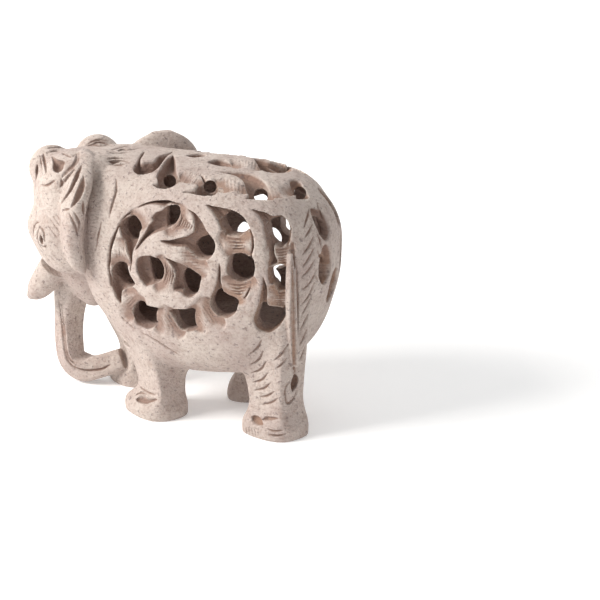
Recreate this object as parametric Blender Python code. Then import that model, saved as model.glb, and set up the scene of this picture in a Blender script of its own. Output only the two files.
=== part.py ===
"""A small elephant carved from one block of soapstone, its body cut through with a vine of leaves.

It faces -X, its left side is at -Y, and it stands on four feet at z = 0. The body is hollow, and
the hollow shows through the openings in both flanks, the back and the rump. A row of a table is
one cross-section or one opening. Tables, and the sizes beside them, count in shares of the
figure's height, so that its pose and proportions go with its height. The wall and the grain of
the stone are in millimetres, and stay as they are.
"""

import math

import bmesh
import bpy
import numpy as np
from mathutils import Matrix, Vector
from mathutils.bvhtree import BVHTree

MM = 0.001

# How high the figure is in millimetres, and how many shares of the tables that height counts
FIGURE_HEIGHT = 82.6
SHARES_HIGH = 82.6
SHARE = FIGURE_HEIGHT / SHARES_HIGH * MM
ROUND = 2.0

# The stone as a whole
STONE_COLOUR = (0.66, 0.56, 0.49, 1.0)
STONE_ROUGHNESS = 0.82
GRAIN = 1.15
SOFTEN_PASSES = 2
SOLID_TRIANGLES = 4300
RING_POINTS = 28
STEPS_BETWEEN = 4

# The body: how far along x, half width, the height where it is widest, how far it rises
# above and falls below that, and the squareness of its upper and lower halves
BODY = (
    (-32.0, 11.0, 62.0, 16.0, 18.0, 2.3, 2.2),
    (-26.0, 17.4, 59.0, 21.2, 28.0, 2.6, 2.5),
    (-21.0, 20.4, 56.5, 24.2, 30.0, 2.7, 2.6),
    (-15.0, 22.2, 54.0, 26.4, 30.5, 2.8, 2.8),
    (-8.0, 23.2, 52.0, 28.2, 33.0, 2.9, 3.1),
    (0.0, 25.2, 50.0, 29.8, 34.0, 3.1, 3.5),
    (10.0, 26.2, 49.0, 30.6, 33.8, 3.2, 3.7),
    (22.0, 26.1, 49.0, 30.3, 32.8, 3.2, 3.7),
    (32.0, 24.8, 49.5, 28.7, 32.2, 3.0, 3.5),
    (39.5, 21.9, 50.4, 25.4, 29.0, 2.6, 3.1),
    (44.2, 18.2, 52.0, 20.6, 24.4, 2.2, 2.7),
    (47.4, 14.0, 54.0, 15.8, 18.6, 2.1, 2.4),
    (49.8, 9.4, 55.2, 10.6, 12.4, 2.1, 2.3),
    (51.0, 4.2, 55.4, 5.0, 5.6, 2.1, 2.1),
)
WALL = 5.5
WALL_SHARES = WALL * MM / SHARE
HOLLOW_FRONT = -11.0
HOLLOW_REAR = 45.0
HOLLOW_FLOOR = 31.5
HOLLOW_SECTIONS = 11

# A leg: height, then x and how far out to the side for its four upright edges, which are the
# front, outer, rear and inner one, and the squareness
FRONT_LEG = (
    (-3.0, -14.4, 13.6, -1.4, 22.2, 5.8, 12.6, -5.0, 5.4, 2.7),
    (3.4, -14.7, 13.8, -1.0, 22.4, 6.2, 12.8, -5.0, 5.2, 2.8),
    (7.6, -10.8, 12.8, 0.9, 21.6, 5.6, 12.8, -3.6, 5.6, 4.6),
    (13.0, -11.4, 12.6, 0.2, 21.4, 6.0, 12.8, -3.8, 5.4, 6.0),
    (18.0, -13.8, 12.4, -1.0, 21.4, 8.4, 13.0, -4.0, 4.0, 6.0),
    (24.0, -17.2, 12.4, -3.8, 21.6, 11.5, 14.0, -5.0, 2.0, 6.0),
    (31.0, -21.6, 12.0, -7.5, 21.7, 12.0, 14.0, -6.0, 0.5, 5.0),
    (39.0, -25.0, 11.0, -10.0, 20.7, 12.0, 13.0, -8.0, 0.0, 4.0),
)
HIND_LEG = (
    (-3.0, 27.6, 19.0, 41.0, 22.8, 46.4, 13.0, 31.0, 6.4, 3.0),
    (3.4, 27.5, 19.2, 41.2, 23.0, 46.8, 13.0, 31.0, 6.2, 3.2),
    (8.0, 29.2, 19.0, 41.3, 22.3, 45.6, 12.8, 32.0, 6.8, 4.6),
    (12.0, 29.6, 18.9, 41.1, 22.0, 45.0, 12.8, 32.0, 7.0, 6.0),
    (20.0, 27.7, 18.7, 41.0, 22.0, 45.4, 12.6, 30.0, 5.6, 6.0),
    (28.0, 23.4, 19.0, 41.0, 21.8, 46.0, 12.6, 27.0, 3.0, 5.0),
    (36.0, 18.0, 19.6, 40.4, 21.2, 46.2, 12.4, 24.0, 0.5, 4.0),
    (44.0, 14.0, 19.0, 39.0, 20.0, 46.0, 11.0, 22.0, 0.5, 4.0),
)
STRIDE = 15.0
STRIDE_INWARD = 5.6

# The head is turned towards the elephant's right. Its own middle line passes between the two
# bosses of the forehead: forward and left of that line, height, half depth, half width, squareness
HEAD_TURN = 45.0
HEAD_X = -36.1
HEAD_Y = 0.2
HEAD = (
    (-8.0, 0.0, 42.6, 7.0, 8.0, 2.6),
    (-8.0, 0.0, 45.0, 11.4, 13.0, 2.8),
    (-7.4, 0.0, 50.0, 13.2, 15.5, 3.0),
    (-6.4, 0.0, 56.0, 14.0, 17.2, 3.0),
    (-6.6, 0.0, 62.5, 13.4, 14.9, 3.0),
    (-6.8, 0.0, 68.0, 13.2, 14.8, 3.0),
    (-7.6, 0.0, 74.0, 12.8, 14.4, 2.8),
    (-10.0, 0.0, 79.0, 10.4, 10.8, 2.5),
    (-12.6, 0.0, 81.2, 5.4, 5.8, 2.2),
)
BOSS_FORWARD = 0.0
BOSS_SIDE = 7.6
BOSS_HEIGHT = 74.6
BOSS_RISE = 0.8
BOSS_RADIUS = 7.2

# The jaw joins the trunk to the chest: x, y, height, half length, half width, squareness
JAW = (
    (-30.2, -1.0, 28.6, 2.6, 3.4, 2.2),
    (-31.2, -1.0, 32.4, 6.0, 6.0, 2.4),
    (-32.5, -1.0, 40.0, 10.0, 9.0, 2.6),
    (-32.5, -1.0, 48.0, 10.5, 10.0, 2.6),
)

# The trunk's middle line: x, y, z, half depth, half width
TRUNK = (
    (-38.6, -0.4, 48.0, 6.6, 5.6),
    (-39.0, 0.2, 40.0, 6.6, 5.0),
    (-39.6, 0.6, 32.0, 5.6, 4.5),
    (-40.8, 0.6, 23.0, 4.1, 4.0),
    (-41.1, 0.2, 14.0, 3.8, 3.9),
    (-39.8, -0.2, 7.0, 3.9, 3.8),
    (-34.6, 0.0, 4.6, 3.9, 3.8),
    (-28.4, 1.4, 6.2, 3.7, 3.7),
    (-23.0, 3.0, 8.4, 3.4, 3.4),
)
TRUNK_TURN = 35.0
TRUNK_SQUARENESS = 3.2

# A tusk: forward and out to the side from the head's line, height, radius
TUSK = (
    (-2.0, 9.0, 42.0, 4.8),
    (1.0, 11.2, 36.8, 4.5),
    (4.0, 13.4, 32.4, 3.4),
    (6.4, 15.2, 29.6, 1.1),
)

# An ear is a flap from its hinge to its rim: hinge x and y, rim x and y, height, half thickness
NEAR_EAR = (
    (-29.0, -8.0, -25.0, -12.0, 82.0, 1.4),
    (-31.0, -11.0, -22.4, -17.6, 79.0, 2.6),
    (-32.0, -13.0, -21.0, -22.4, 74.6, 3.4),
    (-32.6, -14.0, -22.2, -25.2, 68.4, 3.6),
    (-32.0, -14.0, -23.8, -25.4, 62.0, 3.6),
    (-31.0, -14.0, -24.8, -25.0, 55.0, 3.4),
    (-29.0, -15.0, -24.4, -24.2, 49.4, 2.8),
    (-26.6, -17.0, -23.4, -22.8, 46.6, 1.2),
)
FAR_EAR = (
    (-15.6, 14.4, -11.0, 18.4, 82.6, 1.3),
    (-20.0, 10.0, -6.6, 21.2, 79.6, 2.4),
    (-22.0, 8.0, -4.2, 23.6, 74.6, 3.0),
    (-23.0, 8.0, -4.6, 25.4, 66.0, 3.2),
    (-24.0, 8.0, -8.0, 25.4, 57.0, 3.0),
    (-24.0, 9.0, -13.0, 23.2, 49.6, 2.4),
    (-22.0, 12.0, -17.0, 19.6, 46.0, 1.2),
)
EAR_SQUARENESS = 2.6

# The tail hangs down the left of the rump: x, y, z, radius
TAIL = (
    (42.8, -19.4, 66.0, 0.8),
    (43.4, -19.7, 54.0, 1.5),
    (43.7, -19.4, 40.0, 1.7),
    (44.0, -18.4, 24.0, 1.3),
)

# An opening: place across and up its panel, half width, half height, then the reach and the
# direction in degrees of the scoop that leads into it
FLANK_OPENINGS = (
    (-5.6, 64.7, 2.9, 4.6, 9.0, -80.0),
    (7.2, 69.0, 3.9, 3.7, 8.0, 200.0),
    (17.2, 61.2, 4.1, 4.3, 8.0, 165.0),
    (1.3, 51.8, 3.0, 4.4, 6.0, 100.0),
    (13.0, 48.4, 4.1, 4.0, 9.0, 140.0),
    (-8.6, 47.0, 3.2, 5.6, 7.0, 95.0),
    (-2.4, 36.9, 3.8, 3.6, 7.0, 155.0),
    (10.6, 36.9, 3.7, 3.3, 7.0, 185.0),
    (23.4, 43.0, 4.3, 3.9, 9.0, 110.0),
    (28.8, 55.6, 4.3, 4.1, 8.0, 115.0),
    (27.8, 68.6, 4.3, 3.8, 9.0, 160.0),
    (40.6, 67.6, 3.8, 4.2, 8.0, 150.0),
    (40.8, 54.2, 3.2, 4.2, 7.0, 105.0),
    (38.4, 41.4, 4.2, 3.9, 8.0, 75.0),
)
BACK_OPENINGS = (
    (-7.4, -8.2, 4.8, 3.8, 7.0, 30.0),
    (4.4, -15.6, 4.6, 3.4, 7.0, 35.0),
    (18.2, -17.6, 4.8, 3.2, 8.0, 150.0),
    (33.2, -16.0, 4.4, 3.4, 8.0, 145.0),
    (42.4, -10.4, 3.4, 3.8, 6.0, 120.0),
    (28.6, 5.4, 4.4, 3.0, 8.0, 185.0),
    (11.4, 4.6, 4.2, 3.0, 7.0, 185.0),
    (-6.6, 9.4, 4.6, 3.6, 7.0, -30.0),
    (4.6, 16.2, 4.4, 3.2, 7.0, -35.0),
    (19.0, 17.6, 4.6, 3.2, 7.0, 210.0),
    (33.4, 15.6, 4.2, 3.4, 7.0, 215.0),
)
RUMP_OPENINGS = (
    (-6.4, 66.0, 3.2, 3.6, 6.0, 60.0),
    (6.4, 65.6, 3.2, 3.6, 6.0, 120.0),
    (-7.6, 52.0, 3.4, 4.2, 6.0, 70.0),
    (7.6, 52.0, 3.4, 4.2, 6.0, 110.0),
    (0.0, 43.0, 3.6, 3.8, 7.0, 90.0),
)
OPENING_SIDES = 10
SCOOP_DEPTH = 3.4
SCOOP_TIP = 0.3
SCOOP_BLUNTNESS = 0.45
CUT_CLEARANCE = 4.0
# How far out the search for the skin starts, which is past the whole figure
CAST_REACH = 100.0


def clear_scene():
    """Start from an empty scene."""
    for obj in list(bpy.data.objects):
        bpy.data.objects.remove(obj)


def make_stone():
    """The pale, matt soapstone that the whole figure is cut from."""
    stone = bpy.data.materials.new("soapstone")
    stone.use_nodes = True
    shader = stone.node_tree.nodes["Principled BSDF"]
    shader.inputs["Base Color"].default_value = STONE_COLOUR
    shader.inputs["Roughness"].default_value = STONE_ROUGHNESS
    shader.inputs["Metallic"].default_value = 0.0
    return stone


def smooth_rows(rows, steps=STEPS_BETWEEN):
    """Rows of a table with more rows between them, on a curve through them all."""
    table = np.array(rows, float)
    padded = np.vstack([2 * table[0] - table[1], table, 2 * table[-1] - table[-2]])
    made = []
    for i in range(len(table) - 1):
        before, start, end, after = padded[i : i + 4]
        for t in np.arange(steps) / steps:
            made.append(
                0.5
                * (
                    2 * start
                    + (end - before) * t
                    + (2 * before - 5 * start + 4 * end - after) * t**2
                    + (3 * start - before - 3 * end + after) * t**3
                )
            )
    made.append(table[-1])
    return np.array(made)


def ring(centre, across, along, half_across, half_along, squareness):
    """Points of one cross-section. Squareness 2 is an ellipse, and more is a rounder box."""
    points = []
    for k in range(RING_POINTS):
        angle = math.tau * k / RING_POINTS
        c, s = math.cos(angle), math.sin(angle)
        u = half_across * math.copysign(abs(c) ** (2 / squareness), c)
        v = half_along * math.copysign(abs(s) ** (2 / squareness), s)
        points.append(Vector(centre) + Vector(across) * u + Vector(along) * v)
    return points


def skin_rings(name, rings):
    """A closed mesh object over rings of points in millimetres."""
    bm = bmesh.new()
    loops = [[bm.verts.new(point * SHARE) for point in points] for points in rings]
    for low, high in zip(loops, loops[1:]):
        count = len(low)
        for k in range(count):
            bm.faces.new((low[k], low[(k + 1) % count], high[(k + 1) % count], high[k]))
    bm.faces.new(loops[0])
    bm.faces.new(loops[-1])
    bmesh.ops.recalc_face_normals(bm, faces=bm.faces)
    mesh = bpy.data.meshes.new(name)
    bm.to_mesh(mesh)
    bm.free()
    obj = bpy.data.objects.new(name, mesh)
    bpy.context.scene.collection.objects.link(obj)
    return obj


def body_ring(row, inset=0.0, floor=-math.inf):
    """One upright section of the body, or of a skin inset from it that stops at a floor."""
    x, half_width, middle, up, down, upper_squareness, lower_squareness = row
    points = []
    for k in range(RING_POINTS):
        angle = math.tau * k / RING_POINTS
        c, s = math.cos(angle), math.sin(angle)
        squareness = upper_squareness if s > 0 else lower_squareness
        reach = (up if s > 0 else down) - inset
        y = (half_width - inset) * math.copysign(abs(c) ** (2 / squareness), c)
        z = middle + reach * math.copysign(abs(s) ** (2 / squareness), s)
        points.append(Vector((x, y, max(z, floor))))
    return points


def make_body():
    """The barrel of the body, from the neck to the rump."""
    return skin_rings("body", [body_ring(row) for row in smooth_rows(BODY)])


def corner_ring(corners, squareness):
    """Points of a cross-section whose rounded corners reach the four given points."""
    middle = sum(corners, Vector()) / 4
    reach = 2 ** (1 / squareness)
    a, b, c, d = [middle + (corner - middle) * reach for corner in corners]
    points = []
    for k in range(RING_POINTS):
        angle = math.tau * k / RING_POINTS
        u = math.copysign(abs(math.cos(angle)) ** (2 / squareness), math.cos(angle))
        v = math.copysign(abs(math.sin(angle)) ** (2 / squareness), math.sin(angle))
        weights = ((1 - u) * (1 - v), (1 + u) * (1 - v), (1 + u) * (1 + v), (1 - u) * (1 + v))
        points.append(sum((p * w / 4 for p, w in zip((a, b, c, d), weights)), Vector()))
    return points


def make_leg(name, rows, side, forward, inward):
    """One leg: side is -1 for the left, and forward and inward say how far it has stepped."""
    rings = []
    for row in smooth_rows(rows):
        corners = [
            Vector((row[k] - forward, side * (row[k + 1] - inward), row[0])) for k in range(1, 9, 2)
        ]
        rings.append(corner_ring(corners, row[9]))
    return skin_rings(name, rings)


def head_axes(turn=HEAD_TURN):
    """Unit vectors that point forwards and to the left of something turned like the head."""
    turn = math.radians(turn)
    forward = Vector((-math.cos(turn), math.sin(turn), 0))
    return forward, Vector((-forward.y, forward.x, 0))


def head_point(forward, left, z):
    """A point placed from the head's own middle line."""
    ahead, aside = head_axes()
    return Vector((HEAD_X, HEAD_Y, 0)) + ahead * forward + aside * left + Vector((0, 0, z))


def make_head():
    """The skull and cheeks, down to where the trunk leaves them."""
    ahead, aside = head_axes()
    rings = [
        ring(head_point(f, s, z), ahead, aside, half_depth, half_width, squareness)
        for f, s, z, half_depth, half_width, squareness in smooth_rows(HEAD)
    ]
    return skin_rings("head", rings)


def make_boss(side):
    """One of the two bosses of the forehead: side is 1 for the left."""
    bm = bmesh.new()
    bmesh.ops.create_uvsphere(bm, u_segments=24, v_segments=16, radius=BOSS_RADIUS * SHARE)
    centre = head_point(BOSS_FORWARD, side * BOSS_SIDE, BOSS_HEIGHT - side * BOSS_RISE) * SHARE
    bmesh.ops.translate(bm, verts=bm.verts, vec=centre)
    mesh = bpy.data.meshes.new("boss")
    bm.to_mesh(mesh)
    bm.free()
    obj = bpy.data.objects.new("boss", mesh)
    bpy.context.scene.collection.objects.link(obj)
    return obj


def make_jaw():
    """The jaw and throat, behind the trunk."""
    rings = [
        ring((x, y, z), (1, 0, 0), (0, 1, 0), half_length, half_width, squareness)
        for x, y, z, half_length, half_width, squareness in smooth_rows(JAW)
    ]
    return skin_rings("jaw", rings)


def swept_rings(points, half_depths, half_widths, sideways, squareness):
    """Cross-sections square to a path, each with its width along the same sideways direction."""
    rings = []
    for i, point in enumerate(points):
        behind, ahead = points[max(i - 1, 0)], points[min(i + 1, len(points) - 1)]
        tangent = (ahead - behind).normalized()
        depth_axis = tangent.cross(sideways).normalized()
        width_axis = depth_axis.cross(tangent)
        rings.append(ring(point, depth_axis, width_axis, half_depths[i], half_widths[i], squareness))
    return rings


def make_trunk():
    """The trunk hangs, then curls back under the chin to the right front foot."""
    rows = smooth_rows(TRUNK)
    points = [Vector(row[:3]) for row in rows]
    sideways = head_axes(TRUNK_TURN)[1]
    rings = swept_rings(points, rows[:, 3], rows[:, 4], sideways, TRUNK_SQUARENESS)
    return skin_rings("trunk", rings)


def make_tusk(side):
    """A short tusk: side is 1 for the left."""
    rows = smooth_rows(TUSK)
    points = [head_point(f, side * s, z) for f, s, z, radius in rows]
    rings = swept_rings(points, rows[:, 3], rows[:, 3], head_axes()[1], ROUND)
    return skin_rings("tusk", rings)


def make_ear(name, rows):
    """A flap between its hinge and its rim, each row of the table being one height."""
    rings = []
    for hinge_x, hinge_y, rim_x, rim_y, z, half_thickness in smooth_rows(rows):
        hinge, rim = Vector((hinge_x, hinge_y, z)), Vector((rim_x, rim_y, z))
        across = (rim - hinge).normalized()
        along = Vector((-across.y, across.x, 0))
        half_span = (rim - hinge).length / 2
        rings.append(ring((hinge + rim) / 2, across, along, half_span, half_thickness, EAR_SQUARENESS))
    return skin_rings(name, rings)


def make_tail():
    """The tail lies on the stone as a raised cord."""
    rows = smooth_rows(TAIL)
    points = [Vector(row[:3]) for row in rows]
    return skin_rings("tail", swept_rings(points, rows[:, 3], rows[:, 3], Vector((0, 1, 0)), ROUND))


def use_modifier(obj, kind, **settings):
    """Add a modifier, with its settings, and apply it to the object's mesh."""
    modifier = obj.modifiers.new(kind.lower(), kind)
    for key, value in settings.items():
        setattr(modifier, key, value)
    graph = bpy.context.evaluated_depsgraph_get()
    graph.update()
    mesh = bpy.data.meshes.new_from_object(obj.evaluated_get(graph))
    obj.modifiers.remove(modifier)
    old = obj.data
    obj.data = mesh
    bpy.data.meshes.remove(old)


def join_forms(name, forms):
    """All the forms in one object, still overlapping."""
    bm = bmesh.new()
    for form in forms:
        bm.from_mesh(form.data)
        bpy.data.objects.remove(form)
    mesh = bpy.data.meshes.new(name)
    bm.to_mesh(mesh)
    bm.free()
    obj = bpy.data.objects.new(name, mesh)
    bpy.context.scene.collection.objects.link(obj)
    return obj


def flatten_feet(obj):
    """Rub the soles flat, so that all four feet stand on z = 0."""
    bm = bmesh.new()
    bm.from_mesh(obj.data)
    everything = bm.verts[:] + bm.edges[:] + bm.faces[:]
    down = (0, 0, -1)
    cut = bmesh.ops.bisect_plane(bm, geom=everything, plane_co=(0, 0, 0), plane_no=down, clear_outer=True)
    rims = [edge for edge in cut["geom_cut"] if isinstance(edge, bmesh.types.BMEdge)]
    bmesh.ops.contextual_create(bm, geom=rims)
    bmesh.ops.triangulate(bm, faces=bm.faces)
    bmesh.ops.recalc_face_normals(bm, faces=bm.faces)
    bm.to_mesh(obj.data)
    bm.free()


def block_out():
    """The whole figure as one closed block, before the openings are cut."""
    forms = [make_body(), make_head(), make_jaw(), make_trunk(), make_tail()]
    forms += [make_boss(1), make_boss(-1), make_tusk(1), make_tusk(-1)]
    forms += [make_ear("near_ear", NEAR_EAR), make_ear("far_ear", FAR_EAR)]
    for side, forward, inward in ((-1, 0.0, 0.0), (1, STRIDE, STRIDE_INWARD)):
        forms.append(make_leg("front_leg", FRONT_LEG, side, forward, inward))
        forms.append(make_leg("hind_leg", HIND_LEG, side, forward, inward))
    block = join_forms("elephant", forms)
    use_modifier(block, "REMESH", mode="VOXEL", voxel_size=GRAIN * MM)
    use_modifier(block, "SMOOTH", factor=0.5, iterations=SOFTEN_PASSES)
    share = SOLID_TRIANGLES / (2 * len(block.data.polygons))
    use_modifier(block, "DECIMATE", ratio=min(share, 1.0))
    flatten_feet(block)
    return block


def make_hollow():
    """The hollow inside the body, a wall's thickness in from its skin."""
    table = smooth_rows(BODY)
    rings = []
    for x in np.linspace(HOLLOW_FRONT, HOLLOW_REAR, HOLLOW_SECTIONS):
        row = [np.interp(x, table[:, 0], table[:, k]) for k in range(table.shape[1])]
        rings.append(body_ring(row, WALL_SHARES, HOLLOW_FLOOR))
    return skin_rings("hollow", rings)


def oval(centre, across, upward, half_width, half_height):
    """Points of an oval opening."""
    points = []
    for k in range(OPENING_SIDES):
        angle = math.tau * (k + 0.5) / OPENING_SIDES
        sideways = across * half_width * math.cos(angle)
        points.append(centre + sideways + upward * half_height * math.sin(angle))
    return points


def hull_object(name, points):
    """A convex solid around some points in millimetres."""
    bm = bmesh.new()
    for point in points:
        bm.verts.new(point * SHARE)
    made = bmesh.ops.convex_hull(bm, input=bm.verts)
    unused = {item for key in ("geom_interior", "geom_unused") for item in made[key]}
    bmesh.ops.delete(bm, geom=[item for item in unused if isinstance(item, bmesh.types.BMVert)])
    bmesh.ops.recalc_face_normals(bm, faces=bm.faces)
    mesh = bpy.data.meshes.new(name)
    bm.to_mesh(mesh)
    bm.free()
    obj = bpy.data.objects.new(name, mesh)
    bpy.context.scene.collection.objects.link(obj)
    return obj


def make_opening(block_tree, row, across, upward, outward):
    """The cutters of one opening: a hole through the wall, and a scoop that slopes down to it."""
    u, v, half_width, half_height, reach, direction = row

    def on_skin(place, depth):
        start = place + outward * CAST_REACH
        hit = block_tree.ray_cast(start * SHARE, -outward)[0] / SHARE
        return hit - outward * depth

    middle = across * u + upward * v
    skin = on_skin(middle, 0.0)
    outer = oval(skin + outward * CUT_CLEARANCE, across, upward, half_width, half_height)
    inner = oval(skin - outward * (WALL_SHARES + CUT_CLEARANCE), across, upward, half_width, half_height)
    turn = math.radians(direction)
    ahead = across * math.cos(turn) + upward * math.sin(turn)
    aside = across * -math.sin(turn) + upward * math.cos(turn)
    size = (half_width + half_height) / 2
    ledge = oval(skin - outward * SCOOP_DEPTH, across, upward, half_width, half_height)
    tail = []
    for forward, sideways in ((1.0, 0.0), (0.8, SCOOP_BLUNTNESS), (0.8, -SCOOP_BLUNTNESS)):
        place = middle + ahead * (size + reach) * forward + aside * size * sideways
        tail += [on_skin(place, SCOOP_TIP), on_skin(place, -CUT_CLEARANCE)]
    return [hull_object("hole", outer + inner), hull_object("scoop", outer + ledge + tail)]


def make_openings(block):
    """All the openings: both flanks, the back and the rump."""
    graph = bpy.context.evaluated_depsgraph_get()
    tree = BVHTree.FromObject(block, graph)
    x_axis, y_axis, z_axis = Vector((1, 0, 0)), Vector((0, 1, 0)), Vector((0, 0, 1))
    cutters = []
    for row in FLANK_OPENINGS:
        cutters += make_opening(tree, row, x_axis, z_axis, -y_axis)
        cutters += make_opening(tree, row, x_axis, z_axis, y_axis)
    for row in BACK_OPENINGS:
        cutters += make_opening(tree, row, x_axis, y_axis, z_axis)
    for row in RUMP_OPENINGS:
        cutters += make_opening(tree, row, y_axis, z_axis, x_axis)
    return cutters


def cut_away(block, cutter):
    """Cut the cutter out of the block, and keep it as a guide."""
    cutter.hide_render = True
    cutter.display_type = "WIRE"
    use_modifier(block, "BOOLEAN", operation="DIFFERENCE", solver="EXACT", use_self=True, object=cutter)


def stand_on_floor(figure, guide):
    """Place the finished figure, and its guide, over the middle of the floor."""
    corners = [Vector(corner) for corner in figure.bound_box]
    low = Vector([min(c[k] for c in corners) for k in range(3)])
    high = Vector([max(c[k] for c in corners) for k in range(3)])
    middle = (low + high) / 2
    for obj in (figure, guide):
        obj.data.transform(Matrix.Translation((-middle.x, -middle.y, -low.z)))


def main():
    """Carve the elephant."""
    clear_scene()
    elephant = block_out()
    cutter = join_forms("hollow_and_openings", [make_hollow()] + make_openings(elephant))
    cut_away(elephant, cutter)
    stand_on_floor(elephant, cutter)
    elephant.data.materials.clear()
    elephant.data.materials.append(make_stone())


main()
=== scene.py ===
"""The carved stone finish of a small openwork elephant, and the plain stage that it stands on.

The elephant is carved as a block of tiny cells. Each form of the figure is a signed distance, and
each cut, scoop and groove takes cells away. All tables are in millimetres of the carver's frame:
the elephant faces -X, its left side is at -Y, and +Z is up from the floor.
"""

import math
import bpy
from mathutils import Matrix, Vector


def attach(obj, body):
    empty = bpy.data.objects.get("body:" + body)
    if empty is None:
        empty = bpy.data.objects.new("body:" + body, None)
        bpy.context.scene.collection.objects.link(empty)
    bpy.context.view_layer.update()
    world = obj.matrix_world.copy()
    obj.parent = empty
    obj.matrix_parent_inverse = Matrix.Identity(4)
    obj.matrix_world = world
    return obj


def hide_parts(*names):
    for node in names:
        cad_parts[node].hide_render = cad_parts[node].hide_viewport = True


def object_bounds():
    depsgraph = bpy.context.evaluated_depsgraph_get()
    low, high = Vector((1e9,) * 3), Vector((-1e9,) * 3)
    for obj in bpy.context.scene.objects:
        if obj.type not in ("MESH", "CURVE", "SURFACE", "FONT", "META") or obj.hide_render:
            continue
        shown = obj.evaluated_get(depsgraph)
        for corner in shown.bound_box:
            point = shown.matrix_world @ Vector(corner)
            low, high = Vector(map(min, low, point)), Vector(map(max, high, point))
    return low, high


bl_info = {
    "name": "Openwork Stone Elephant",
    "version": (1, 0, 0),
    "blender": (4, 5, 0),
    "location": "3D View > Sidebar > Stone Elephant",
    "description": "Carves a hollow soapstone elephant with a vine of leaves, and sets it on a stage",
    "category": "Object",
}

import bmesh
import bpy
import numpy as np
import openvdb
from mathutils import Matrix, Vector

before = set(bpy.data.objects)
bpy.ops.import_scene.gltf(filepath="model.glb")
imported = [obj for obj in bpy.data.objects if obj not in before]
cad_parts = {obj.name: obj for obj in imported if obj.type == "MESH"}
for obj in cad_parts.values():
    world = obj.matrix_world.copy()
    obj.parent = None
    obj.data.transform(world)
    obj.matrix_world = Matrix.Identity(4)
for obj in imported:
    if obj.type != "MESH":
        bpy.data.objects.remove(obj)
CAD_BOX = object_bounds()

MM = 0.001
# How far the carver's frame lies from the middle of the part's box
SHIFT = (0.4, 0.0, 0.0)
BOX_LOW, BOX_HIGH = [np.array(corner) / MM - SHIFT for corner in CAD_BOX]
# The corners of the block of cells
LOW_CORNER = (-53.0, -28.0, -2.1)
HIGH_CORNER = (52.5, 28.0, 84.5)
# How far on both sides of a form its distance is known
REACH = 2.4
RING_POINTS = 56
STEPS_BETWEEN = 6
# A distance that stands for nothing near
FAR_AWAY = 99.0
# The least squared length, and the least difference, that anything is divided by
TINY_SQUARE = 1e-9
TINY_STEP = 1e-6

# Where the camera stands, and its turn and rise in degrees. The visible carving is laid out for it.
VIEW_TURN = 20.0
VIEW_RISE = 21.0
EYE = (226.77, -515.01, 248.48)


def outlines(*rows):
    """Lines of points, from rows of numbers that go across, up, across, up and so on."""
    return [np.reshape(row, (-1, 2)) for row in rows]


# The body: how far along x, half width, the height where it is widest, how far it rises
# above and falls below that, and the squareness of its upper and lower halves
BODY = (
    (-32.0, 11.0, 62.0, 16.0, 18.0, 2.3, 2.2),
    (-26.0, 17.4, 59.0, 21.2, 28.0, 2.6, 2.5),
    (-21.0, 20.4, 56.5, 24.2, 30.0, 2.7, 2.6),
    (-15.0, 22.2, 54.0, 26.4, 30.5, 2.8, 2.8),
    (-8.0, 23.2, 52.0, 28.2, 33.0, 2.9, 3.1),
    (0.0, 25.2, 50.0, 29.8, 34.0, 3.1, 3.5),
    (10.0, 26.2, 49.0, 30.6, 33.8, 3.2, 3.7),
    (22.0, 26.1, 49.0, 30.3, 32.8, 3.2, 3.7),
    (32.0, 24.8, 49.5, 28.7, 32.2, 3.0, 3.5),
    (39.5, 21.9, 50.4, 25.4, 29.0, 2.6, 3.1),
    (44.2, 18.2, 52.0, 20.6, 24.4, 2.2, 2.7),
    (47.4, 14.0, 54.0, 15.8, 18.6, 2.1, 2.4),
    (49.8, 9.4, 55.2, 10.6, 12.4, 2.1, 2.3),
    (51.0, 4.2, 55.4, 5.0, 5.6, 2.1, 2.1),
)
WALL = 5.5
HOLLOW_FRONT = -11.0
HOLLOW_REAR = 45.0
HOLLOW_FLOOR = 31.5

# A leg: height, then x and how far out to the side for its four upright edges, which are the
# front, outer, rear and inner one, and the squareness
FRONT_LEG = (
    (-3.0, -14.4, 13.6, -1.4, 22.2, 5.8, 12.6, -5.0, 5.4, 2.7),
    (3.4, -14.7, 13.8, -1.0, 22.4, 6.2, 12.8, -5.0, 5.2, 2.8),
    (7.6, -10.8, 12.8, 0.9, 21.6, 5.6, 12.8, -3.6, 5.6, 8.3),
    (13.0, -11.4, 12.6, 0.2, 21.4, 6.0, 12.8, -3.8, 5.4, 10.8),
    (18.0, -13.8, 12.4, -1.0, 21.4, 8.4, 13.0, -4.0, 4.0, 10.8),
    (24.0, -17.2, 12.4, -3.8, 21.6, 11.5, 14.0, -5.0, 2.0, 10.8),
    (31.0, -21.6, 12.0, -7.5, 21.7, 12.0, 14.0, -6.0, 0.5, 9.0),
    (39.0, -25.0, 11.0, -10.0, 20.7, 12.0, 13.0, -8.0, 0.0, 7.2),
)
HIND_LEG = (
    (-3.0, 27.6, 19.0, 41.0, 22.8, 46.4, 13.0, 31.0, 6.4, 3.0),
    (3.4, 27.5, 19.2, 41.2, 23.0, 46.8, 13.0, 31.0, 6.2, 3.2),
    (8.0, 29.2, 19.0, 41.3, 22.3, 45.6, 12.8, 32.0, 6.8, 6.9),
    (12.0, 29.6, 18.9, 41.1, 22.0, 45.0, 12.8, 32.0, 7.0, 9.0),
    (20.0, 27.7, 18.7, 41.0, 22.0, 45.4, 12.6, 30.0, 5.6, 9.0),
    (28.0, 23.4, 19.0, 41.0, 21.8, 46.0, 12.6, 27.0, 3.0, 7.5),
    (36.0, 18.0, 19.6, 40.4, 21.2, 46.2, 12.4, 24.0, 0.5, 6.0),
    (44.0, 14.0, 19.0, 39.0, 20.0, 46.0, 11.0, 22.0, 0.5, 6.0),
)
STRIDE = 15.0
STRIDE_INWARD = 5.6

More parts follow.
